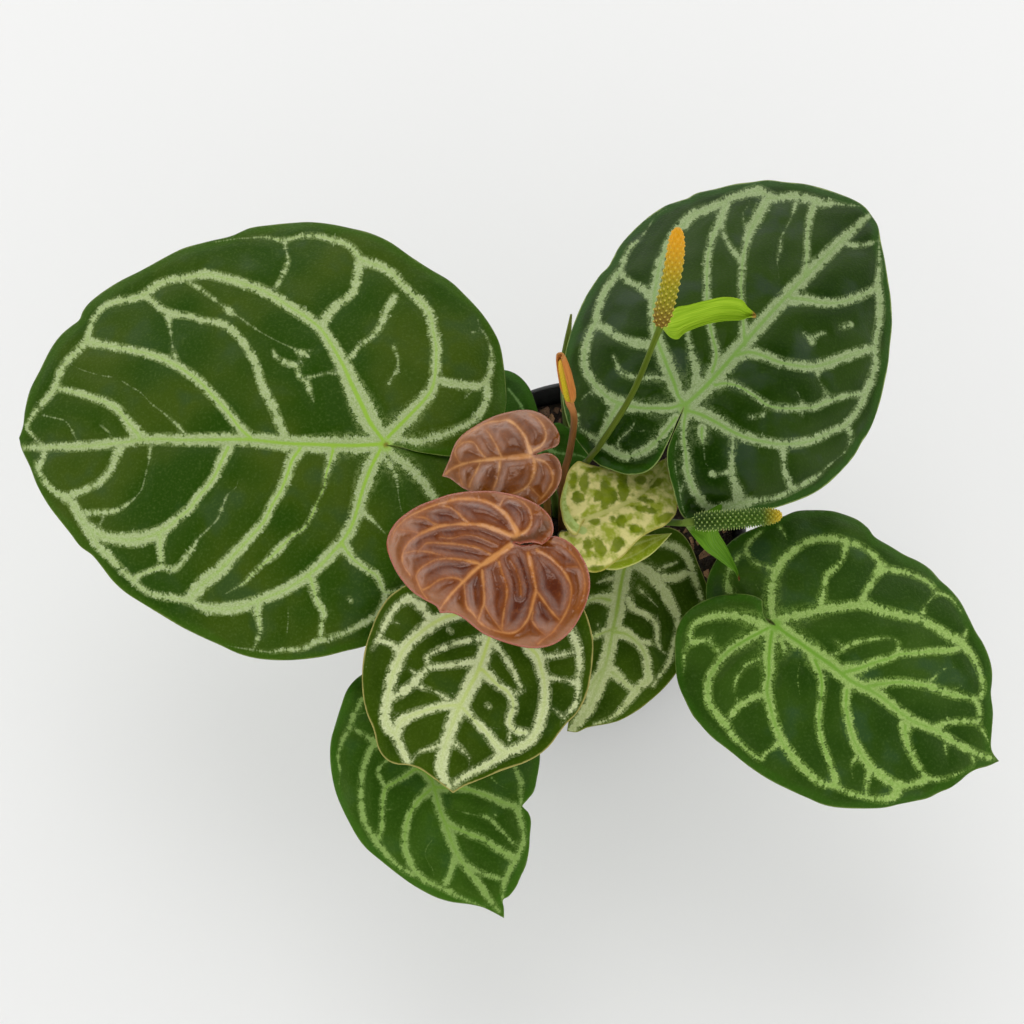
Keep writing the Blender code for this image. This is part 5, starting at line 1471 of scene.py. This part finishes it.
def cut_away(obj, cutters):
    """Cuts the helper objects from the object and removes them."""
    for cutter in cutters:
        modifier = obj.modifiers.new("cut", "BOOLEAN")
        modifier.operation = "DIFFERENCE"
        modifier.solver = "EXACT"
        modifier.object = cutter
        bpy.context.view_layer.objects.active = obj
        bpy.ops.object.modifier_apply(modifier=modifier.name)
        bpy.data.objects.remove(cutter)


def wall_radius(z):
    """The pot wall's outer radius at a height below the rim."""
    return POT_BASE_RADIUS + (POT_TOP_RADIUS - RIM_STEP - POT_BASE_RADIUS) * z / UNDER_RIM


def pot(material, slot):
    """The nursery pot with its stepped rim, open at the top and drained below."""
    inner_top = POT_TOP_RADIUS - POT_WALL
    wall = [(wall_radius(z), z) for z in np.linspace(1.6, UNDER_RIM - 1.0, 12)]
    # The base, up the wall, round the step and the rim, and down the inside to the floor
    profile = [
        (0, 0),
        (POT_BASE_RADIUS - 1.8, 0),
        (POT_BASE_RADIUS - 0.6, 0.4),
        *wall,
        (wall_radius(UNDER_RIM) + 0.4, UNDER_RIM - 0.3),
        (POT_TOP_RADIUS - 0.8, UNDER_RIM),
        (POT_TOP_RADIUS - 0.2, UNDER_RIM + 0.5),
        (POT_TOP_RADIUS, UNDER_RIM + 1.4),
        (POT_TOP_RADIUS, POT_HEIGHT - 1.4),
        (POT_TOP_RADIUS - 0.3, POT_HEIGHT - 0.4),
        (POT_TOP_RADIUS - 0.9, POT_HEIGHT),
        (inner_top + 0.4, POT_HEIGHT),
        (inner_top, POT_HEIGHT - 0.5),
        (inner_top - 0.4, UNDER_RIM + 2.5),
        (wall_radius(UNDER_RIM) - POT_WALL, UNDER_RIM - 2.0),
        (wall_radius(POT_FLOOR) - POT_WALL, POT_FLOOR),
        (0, POT_FLOOR),
    ]
    obj = lathe("nursery_pot", profile, POT_SIDES, (0.0, 0.0), [material])
    cutters = []
    for number in range(DRAIN_HOLES):
        turn = 2 * math.pi * (number + 0.5) / DRAIN_HOLES
        centre = (DRAIN_RING * math.cos(turn), DRAIN_RING * math.sin(turn))
        post = [(0, -2.0), (DRAIN_RADIUS, -2.0), (DRAIN_RADIUS, POT_FLOOR + 2.0), (0, POT_FLOOR + 2.0)]
        cutters.append(lathe("drain", post, DRAIN_SIDES, centre, [material]))
    cut_away(obj, cutters)
    obj.data.set_sharp_from_angle(angle=POT_CREASE)
    return stand_for(obj, "pot", slot)


def potting_mix(material, slot):
    """The mix fills the pot up to under its rim, with a crumbly top."""
    edge = wall_radius(MIX_TOP - MIX_EDGE) - POT_WALL - MIX_CLEAR
    floor = POT_FLOOR + MIX_CLEAR
    foot = wall_radius(floor) - POT_WALL - 3 * MIX_CLEAR
    profile = [(0, floor), (foot, floor), (edge, MIX_TOP - MIX_EDGE)]
    profile += [(radius, MIX_TOP) for radius in np.linspace(edge - 0.5, 1.0, MIX_RINGS)]
    profile.append((0, MIX_TOP))

    def crumbs(turns, radius, z):
        """Bumps of several sizes on the top only."""
        if z < MIX_TOP:
            return 0.0, 0.0
        x = radius * np.cos(turns)
        y = radius * np.sin(turns)
        return 0.0, sum(high * waves(x, y, size, seed) for seed, (high, size) in enumerate(CRUMBS, 1))

    obj = lathe("mix", profile, MIX_SIDES, (0.0, 0.0), [material], crumbs)
    return stand_for(obj, "potting_mix", slot)


def feet():
    """Middle and radius of everything that stands in the mix."""
    found = [(CROWN, CROWN_RADIUS)]
    found += [(foot, radius * LEAF_STALK_FOOT) for foot, radius, _ in LEAF_STALKS.values()]
    found += [(foot, radius * FLOWER_STALK_FOOT) for foot, radius, _ in FLOWER_STALKS.values()]
    found.append((ROLLED_LEAF[0], ROLLED_LEAF[2][0]))
    return found


def chip(draw, middle, size):
    """Points and faces of one angular lump."""
    mesh = bmesh.new()
    wide, deep, high = (size * draw.uniform(*share) for share in CHIP_FORM)
    tips = [draw.uniform(-CHIP_LEAN, CHIP_LEAN) for _ in range(2)]
    lean = Euler((*tips, draw.uniform(0, math.tau)))
    for _ in range(CHIP_CORNERS):
        spot = Vector([draw.uniform(-1, 1) for _ in range(3)])
        spot = Vector((spot.x * wide, spot.y * deep, spot.z * high)) / max(1.0, spot.length)
        spot.rotate(lean)
        mesh.verts.new(spot / 2 + Vector(middle))
    bmesh.ops.convex_hull(mesh, input=mesh.verts)
    loose = [vertex for vertex in mesh.verts if not vertex.link_faces]
    bmesh.ops.delete(mesh, geom=loose, context="VERTS")
    mesh.verts.index_update()
    points = [tuple(vertex.co) for vertex in mesh.verts]
    faces = [[vertex.index for vertex in face.verts] for face in mesh.faces]
    mesh.free()
    return points, faces


def scattered(name, count, sizes, apart, seed, material):
    """Lumps strewn over the mix, clear of what stands in it, as one mesh."""
    draw = random.Random(seed)
    spots = []
    points = []
    faces = []
    shades = []
    while len(spots) < count:
        reach = CHIPS_WITHIN * math.sqrt(draw.random())
        turn = draw.uniform(0, math.tau)
        x = reach * math.cos(turn)
        y = reach * math.sin(turn)
        size = draw.uniform(*sizes)
        blocked = any(math.dist((x, y), foot) < radius + size * CHIP_CLEAR for foot, radius in feet())
        if blocked or any(math.dist((x, y), spot) < apart * (size + other) / 2 for spot, other in spots):
            continue
        spots.append(((x, y), size))
        heap = CHIPS_HEAP * float(soft_step(CHIPS_HEAP_FROM, CHIPS_WITHIN, reach)) * draw.random()
        more, sides = chip(draw, (x, y, MIX_TOP + CHIP_RAISED * size + heap), size)
        faces += [[index + len(points) for index in side] for side in sides]
        points += more
        shades += [draw.random()] * len(more)
    obj = new_object(name, points, faces, [material], fields={"shade": shades}, smooth=False)
    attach(obj, "root")
    return obj


def crown(material, slot):
    """The short stem, ringed where old leaves stood."""
    profile = [(0, ROOTED_AT), (CROWN_RADIUS, ROOTED_AT)]
    heights = np.linspace(MIX_TOP - 2, CROWN_TOP - 1, CROWN_STEPS)
    for z in heights:
        part = (z - heights[0]) / (heights[-1] - heights[0])
        scar = ((z - MIX_TOP) / CROWN_RING) % 1
        profile.append((CROWN_RADIUS * (1 - CROWN_TAPER * part**2) - CROWN_SCAR * scar**3, z))
    profile.append((0, CROWN_TOP))

    def rough(turns, radius, z):
        """A fine ripple round the stem and up it."""
        return 0.18 * np.sin(7 * turns + 1.3 * z) + 0.12 * np.sin(13 * turns - 2.1 * z), 0.0

    obj = lathe("stem_base", profile, CROWN_SIDES, CROWN, [material], rough)
    return stand_for(obj, "crown", slot)


def tone(red, green, blue):
    """A linear colour from a screen one of 0 to 255."""
    parts = []
    for part in (red, green, blue):
        part /= 255
        parts.append(part / 12.92 if part <= 0.04045 else ((part + 0.055) / 1.055) ** 2.4)
    return (*parts, 1.0)


class Finish:
    """One material, put together node by node. Three numbers for a colour are a screen one of 0 to 255."""

    def __init__(self, name, rough, level=0.5, tint=(1.0, 1.0, 1.0, 1.0)):
        self.material = bpy.data.materials.new(name)
        self.material.use_nodes = True
        self.tree = self.material.node_tree
        self.shader = self.tree.nodes["Principled BSDF"]
        self.put("Roughness", rough)
        self.put("Specular IOR Level", level)
        self.put("Specular Tint", tint)

    def put(self, socket, value):
        """Sets one of the shader's sockets."""
        self.join(self.shader.inputs[socket], value)

    def join(self, socket, value):
        """Links a node's socket to the socket it is given, or sets it to the value."""
        if isinstance(value, bpy.types.NodeSocket):
            self.tree.links.new(value, socket)
        elif isinstance(value, tuple) and len(value) == 3:
            socket.default_value = tone(*value)
        else:
            socket.default_value = value

    def node(self, kind, values, output=0, **settings):
        """A new node's output, its inputs joined to the values."""
        node = self.tree.nodes.new(f"ShaderNode{kind}")
        for key, value in settings.items():
            setattr(node, key, value)
        for key, value in values.items():
            self.join(node.inputs[key], value)
        return node.outputs[output]

    def field(self, name):
        """The numbers that the mesh holds for each point."""
        return self.node("Attribute", {}, "Fac", attribute_name=name)

    def maths(self, operation, first, second):
        """One sum of two values."""
        return self.node("Math", {0: first, 1: second}, operation=operation)

    def plus(self, first, second):
        """Both values added."""
        return self.maths("ADD", first, second)

    def times(self, first, second):
        """Both values multiplied."""
        return self.maths("MULTIPLY", first, second)

    def place(self, x, y, z=0.0):
        """A place to read noise at."""
        return self.node("CombineXYZ", {"X": x, "Y": y, "Z": z})

    def noise(self, size, detail=2.0, at=None):
        """Uneven values between about -1 and 1, of the size in millimetres or in the units of the place."""
        if at is None:
            at = self.node("TexCoord", {}, "Object")
            size *= MM
        values = {"Vector": at, "Scale": 1 / size, "Detail": detail}
        grain = self.node("TexNoise", values, "Fac")
        values = {"Value": grain, 1: NOISE_BAND[0], 2: NOISE_BAND[1], 3: -1.0, 4: 1.0}
        return self.node("MapRange", values, clamp=False)

    def uneven(self, value, size, by, detail=2.0):
        """The value with noise of that size and strength added."""
        return self.plus(value, self.times(self.noise(size, detail), by))

    def soft(self, value, low, high):
        """Runs softly from 0 where the value is low to 1 where it is high."""
        values = {"Value": value, "From Min": low, "From Max": high}
        return self.node("MapRange", values, interpolation_type="SMOOTHSTEP")

    def mix(self, below, above, share, most=1.0):
        """The upper colour laid over the lower one by the share, which the most scales down."""
        if most != 1.0:
            share = self.times(share, most)
        return self.node("Mix", {0: share, 6: below, 7: above}, 2, data_type="RGBA")

    def mottled(self, dark, light, size, spread=1.0, detail=2.0):
        """Both colours in patches of the size. A smaller spread makes their edges harder."""
        return self.mix(dark, light, self.soft(self.noise(size, detail), -spread, spread))

    def finish(self, colour, height=None, depth=0.0):
        """The material in this colour, its surface raised by the height times a depth in millimetres."""
        self.put("Base Color", colour)
        if height is not None:
            values = {"Height": height, "Strength": 1.0, "Distance": depth * MM}
            self.put("Normal", self.node("Bump", values))
        return self.material


def vein_mask(ink, fray, wander, slim=0.0):
    """One inside the veins and nought outside, with edges that wander and fray into fine hairs."""
    outside = ink.field("vein")
    bold = ink.field("bold")
    across = ink.times(outside, HAIR_REACH)
    hairs = ink.noise(HAIR_GAP, at=ink.place(ink.field("along"), across))
    tufts = ink.noise(3 * HAIR_GAP, 1.0, ink.place(ink.field("along"), ink.times(across, 2.0), 5.0))
    rough = ink.plus(ink.times(hairs, fray), ink.times(tufts, TUFT_SHARE * fray))
    edge = ink.plus(outside, ink.times(ink.uneven(rough, WANDER_SIZE, wander), ink.soft(bold, -0.2, 1.0)))
    return ink.times(ink.soft(ink.plus(edge, slim), 1.0, -1.2), ink.soft(bold, -0.5, 1.0))


def green_leaf(name, look):
    """A dark blade with frayed pale veins, a haze of pale grain beside them and a thin line at the margin."""
    look = GREEN_BASE | look
    ink = Finish(name, look["rough"], look["gloss"], GLOSS_TINT)
    mask = vein_mask(ink, look["fray"], look["wander"], look["slim"])
    edge = ink.field("edge")
    reach = ink.field("reach")
    blade = ink.mottled(*look["blade"][:2], look["patch"], 0.8)
    # Patches of painted sheen: a greyer, bluer tone that stands in for the sky's reflection in the blade
    blade = ink.mix(blade, look["painted_sheen"], ink.soft(ink.noise(look["patch"] / 2), 0.1, 1.1), PAINTED_SHEEN_SHARE)
    blade = ink.mix(blade, look["outer"], ink.soft(ink.uneven(edge, 12.0, 2.0), *OUTER_BAND), OUTER_SHARE)
    blade = ink.mix(blade, look["blade"][2], ink.soft(ink.noise(1.1, 3.0), -0.2, 1.6), GRAIN_SHARE)
    # The haze is wider toward the joint, and fine veins have none.
    width = ink.plus(HAZE_LEAST, ink.times(ink.soft(reach, look["haze"], 0.0), HAZE_MORE))
    beside = ink.soft(ink.maths("DIVIDE", ink.field("vein"), width), 1.0, 0.0)
    grain = ink.soft(ink.uneven(ink.noise(0.6, 3.0), 2.0, 0.7), -0.9, 1.3)
    haze = ink.times(ink.times(beside, grain), ink.soft(ink.field("bold"), 0.3, 1.0))
    blade = ink.mix(blade, look["vein"][0], haze, HAZE_SHARE)
    streaks = ink.noise(1.0, at=ink.place(ink.times(ink.field("along"), 0.3), ink.field("vein")))
    streaks = ink.uneven(ink.times(streaks, 0.5), 0.7, 0.6)
    vein = ink.mix(*look["vein"], ink.soft(streaks, -1.0, 1.0))
    core = ink.times(ink.soft(ink.field("core"), 1.7, -0.9), ink.soft(ink.field("share"), 1.2, 0.1))
    colour = ink.mix(blade, ink.mix(vein, look["core"], core), mask)
    near = ink.uneven(reach, 2.0, 0.6)
    colour = ink.mix(colour, look["core"], ink.soft(near, *HUB_BAND), HUB_SHARE)
    if "stain" in look:
        colour = ink.mix(colour, look["stain"], ink.soft(near, *STAIN_BAND), STAIN_SHARE)
    colour = ink.mix(colour, look["margin"], ink.soft(ink.uneven(edge, 9.0, 0.5), look["rim"], 0.2))
    ink.put("Coat Weight", look["coat"])
    ink.put("Coat Roughness", COAT_ROUGH)
    return ink.finish(colour, ink.plus(ink.times(mask, 0.5), ink.noise(0.9)), 0.04)


def leaf_back(name, blade, vein):
    """The paler, duller underside with raised veins."""
    ink = Finish(name, 0.55, 0.3)
    mask = vein_mask(ink, 0.6, 0.8)
    ground = ink.mottled(*blade, 12.0, detail=3.0)
    return ink.finish(ink.mix(ground, vein, mask), ink.noise(1.3), 0.08)


def bronze_leaf(name, look):
    """A young glossy blade, brown with smooth orange veins, a net of faint ones and a pink edge."""
    ink = Finish(name, 0.2, 0.8, BRONZE_TINT)
    outside = ink.uneven(ink.field("vein"), 5.0, 0.7)
    broad = ink.soft(ink.uneven(ink.noise(24.0), 5.0, 0.5, 3.0), -0.8, 0.8)
    blade = ink.mix(*look["blade"][:2], broad)
    blade = ink.mix(blade, look["blade"][2], ink.soft(ink.field("share"), 0.72, 1.0))
    values = {"Vector": ink.node("TexCoord", {}, "Object"), "Scale": 1 / (NET_SIZE * MM)}
    net = ink.soft(ink.node("TexVoronoi", values, feature="DISTANCE_TO_EDGE"), 0.16, 0.0)
    blade = ink.mix(blade, look["halo"], ink.times(net, ink.soft(ink.noise(3.0), -0.4, 1.4)), NET_SHARE)
    blade = ink.mix(blade, look["halo"], ink.soft(outside, 5.0, 0.0), HALO_SHARE)
    vein = ink.mottled(*look["vein"], 14.0)
    pale = ink.times(ink.soft(outside, 0.9, -2.2), ink.soft(ink.field("bold"), -0.8, 1.0))
    colour = ink.mix(blade, vein, pale)
    # Painted shade under the curled edge of a lobe, darker olive-brown
    if "curl" in look:
        curl = ink.soft(ink.uneven(ink.field("curl"), 2.4, 1.3), 2.4, -2.6)
        colour = ink.mix(colour, look["curl"], curl, CURL_SHADE_SHARE)
    colour = ink.mix(colour, look["margin"], ink.soft(ink.field("edge"), 3.0, 0.3), MOSTLY)
    return ink.finish(colour, ink.uneven(ink.noise(1.6, 1.0), 7.0, 5.0, 1.0), 0.025)


def pale_leaf(name, look):
    """A cream young blade with soft green islands, fine cream veins and a band where a lobe's edge curls
    over.
    """
    ink = Finish(name, 0.4, 0.15, GLOSS_TINT)
    ragged = ink.uneven(ink.uneven(ink.field("vein"), 2.2, 1.3, 3.0), 7.0, 0.7)
    cream = ink.mix(*look["cream"], ink.soft(ink.noise(4.0), -0.9, 0.6))
    green = ink.mottled(*look["green"], 5.0)
    colour = ink.mix(cream, green, ink.soft(ragged, -1.9, 0.9), ISLAND_SHARE)
    vein = ink.soft(ink.uneven(ink.field("core"), 2.0, 0.4), 0.8, -1.0)
    colour = ink.mix(colour, look["vein"], vein, MOSTLY)
    striped = ink.mix(look["curl"], look["green"][1], ink.soft(ink.noise(2.2), -0.2, 0.8), 0.5)
    colour = ink.mix(colour, striped, ink.soft(ink.field("curl"), 1.0, -1.0))
    colour = ink.mix(colour, look["margin"], ink.soft(ink.field("edge"), 2.4, 0.3), MOSTLY)
    return ink.finish(colour, ink.noise(1.2), 0.05)


def stalk_finish(name, low, high, top):
    """A stalk: darker at its foot, with fine streaks along it and a paler joint at the top."""
    ink = Finish(name, 0.42, 0.2, GLOSS_TINT)
    along = ink.field("along")
    streak = ink.noise(1.0, at=ink.place(ink.times(along, 6.0), ink.times(ink.field("round"), 14.0)))
    body = ink.mix(ink.mix(low, high, along), top, ink.soft(streak, -0.6, 1.4), 0.35)
    return ink.finish(ink.mix(body, top, ink.soft(along, 0.9, 0.97)))


def spadix_finish(name, foot, body, tip, gap, dot, tip_from):
    """Painted highlights on florets' raised middles, painted shade between, colours running from foot to tip.
    """
    ink = Finish(name, 0.5, 0.2)
    along = ink.field("along")
    stigma = ink.field("stigma")
    colour = ink.mix(foot, body, ink.soft(along, 0.0, 0.45))
    colour = ink.mix(colour, tip, ink.soft(along, tip_from, 1.0))
    # Painted shade in the recesses between the florets
    between = ink.times(ink.soft(stigma, 0.3, 0.0), ink.soft(along, 1.1, 0.1))
    colour = ink.mix(colour, gap, between, MOSTLY)
    # Painted highlight on the raised stigmas
    middle = ink.times(ink.soft(stigma, 0.75, 1.0), ink.soft(along, 1.3, 0.3))
    return ink.finish(ink.mix(colour, dot, middle, MOSTLY))


def spathe_finish(name, dark, light, foot, tip):
    """A spathe streaked along its length, paler at the stalk and dry at its point."""
    ink = Finish(name, 0.4, 0.2, GLOSS_TINT)
    along = ink.field("along")
    streak = ink.noise(1.0, at=ink.place(ink.times(along, 2.0), ink.times(ink.field("across"), 22.0)))
    body = ink.mix(dark, light, ink.soft(streak, -1.0, 1.0))
    body = ink.mix(body, foot, ink.soft(along, 0.12, 0.0))
    return ink.finish(ink.mix(body, tip, ink.soft(along, 0.94, 0.98)))


def plain(name, rough, dark, light, size, depth):
    """A plain mottled finish."""
    ink = Finish(name, rough)
    return ink.finish(ink.mottled(dark, light, size, detail=4.0), ink.noise(size / 3, 4.0), depth)


def chip_finish(name, dark, light, stained):
    """Bark of which each chip has its own shade."""
    ink = Finish(name, 0.85)
    colour = ink.mix(dark, light, ink.soft(ink.field("shade"), 0.1, 0.9))
    colour = ink.mix(colour, stained, ink.soft(ink.noise(2.2, 4.0), 0.0, 1.2))
    return ink.finish(colour, ink.noise(1.4, 4.0), 0.35)


def leaves():
    """All the blades, each with its own upper finish."""
    back = leaf_back("green_back", *GREEN_BACK)
    for key, look in GREEN_LEAVES.items():
        grid = GRID_STEP if key in WIDE_LEAVES else FINE_STEP
        slot = "leaf_pale" if key == "pale_under" else "leaf_green"
        leaf(key, grid, green_leaf(f"green_{key}", look), back, slot)
    back = leaf_back("bronze_back", *BRONZE_BACK)
    for key, look in BRONZE_LEAVES.items():
        leaf(key, FINE_STEP, bronze_leaf(f"glossy_{key}", look), back, "leaf_bronze")
    back = leaf_back("pale_back", *PALE_BACK)
    leaf("pale", FINE_STEP, pale_leaf("cream_leaf", PALE_LEAF), back, "leaf_pale")


def stalks():
    """The leaf stalks, the rolled leaf and the flower stalks."""
    finishes = {name: stalk_finish(name, *tones) for name, tones in STALK_TONES.items()}
    for key in LEAF_STALKS:
        slot = "stalk_bronze" if key in BRONZE_LEAVES else "stalk_green"
        leaf_stalk(key, finishes[slot], slot)
    rolled_leaf(finishes["rolled"], "leaf_green")
    for number in FLOWER_STALKS:
        slot = "stalk_bronze" if number == "2" else "stalk_green"
        flower_stalk(number, finishes[f"flower_stalk_{number}"], slot)


def flowers():
    """The spadices, the two open spathes and the bud's."""
    for number, tones in SPADIX_TONES.items():
        spadix(number, spadix_finish(f"spadix_{number}", *tones), "spadix")
    finishes = {number: spathe_finish(f"spathe_{number}", *tones) for number, tones in SPATHE_TONES.items()}
    for number in SPATHES:
        spathe(number, finishes[number], "spathe")
    bud_spathe(finishes["2"], "spathe_bud")


def pot_and_mix():
    """The pot, what fills it, and the crown."""
    pot(plain("black_plastic", 0.42, *POT_TONES, 2.0, 0.03), "pot")
    potting_mix(plain("dark_mix", 0.95, *MIX_TONES, 3.0, 0.6), "mix")
    bark = chip_finish("bark", *BARK_TONES)
    scattered("bark_chips", CHIPS, CHIP_SIZES, CHIPS_APART, CHIP_SEED, bark)
    crown(plain("crown_skin", 0.7, *CROWN_TONES, 2.5, 0.3), "crown")


def stand(name, content, place, turn):
    """Puts a lamp or a camera in the scene."""
    obj = bpy.data.objects.new(name, content)
    obj.location = place
    obj.rotation_euler = turn
    bpy.context.scene.collection.objects.link(obj)
    return obj


def studio():
    """The pale ground, soft light from above and behind, and the camera at the drawing's view."""
    bpy.ops.mesh.primitive_circle_add(vertices=96, radius=FLOOR_RADIUS, fill_type="NGON")
    ground = bpy.context.object
    ground.name = "ground"
    ground.data.materials.append(Finish("paper", 0.9).finish(PAPER))
    ground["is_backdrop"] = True

    world = bpy.data.worlds.new("studio")
    bpy.context.scene.world = world
    world.use_nodes = True
    tree = world.node_tree
    height = tree.nodes.new("ShaderNodeSeparateXYZ")
    light = tree.nodes.new("ShaderNodeMapRange")
    tree.links.new(tree.nodes.new("ShaderNodeTexCoord").outputs["Generated"], height.inputs[0])
    tree.links.new(height.outputs["Z"], light.inputs["Value"])
    light.inputs["To Min"].default_value, light.inputs["To Max"].default_value = SKY_LIGHT
    tree.links.new(light.outputs[0], tree.nodes["Background"].inputs["Strength"])
    tree.nodes["Background"].inputs["Color"].default_value = (1.0, 1.0, 1.0, 1.0)

    lamp = bpy.data.lights.new("window", "AREA")
    lamp.size = LAMP_SIZE
    lamp.energy = LAMP_POWER
    stand("window", lamp, LAMP_PLACE, (LAMP_AIM - LAMP_PLACE).to_track_quat("-Z", "Y").to_euler())

    camera = bpy.data.cameras.new("camera")
    camera.sensor_width = SENSOR
    camera.lens = SENSOR * VIEW_FOCAL / DRAWING_SIZE
    place = [part * MM for part in eye()]
    bpy.context.scene.camera = stand("camera", camera, place, (math.pi / 2 - VIEW_ELEVATION, 0, 0))
    bpy.context.scene.view_settings.view_transform = "Standard"


leaves()
stalks()
flowers()
pot_and_mix()
studio()
boxes = {"cad": cad_box, "visual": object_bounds()}
{key: [[float(part) for part in corner] for corner in box] for key, box in boxes.items()}
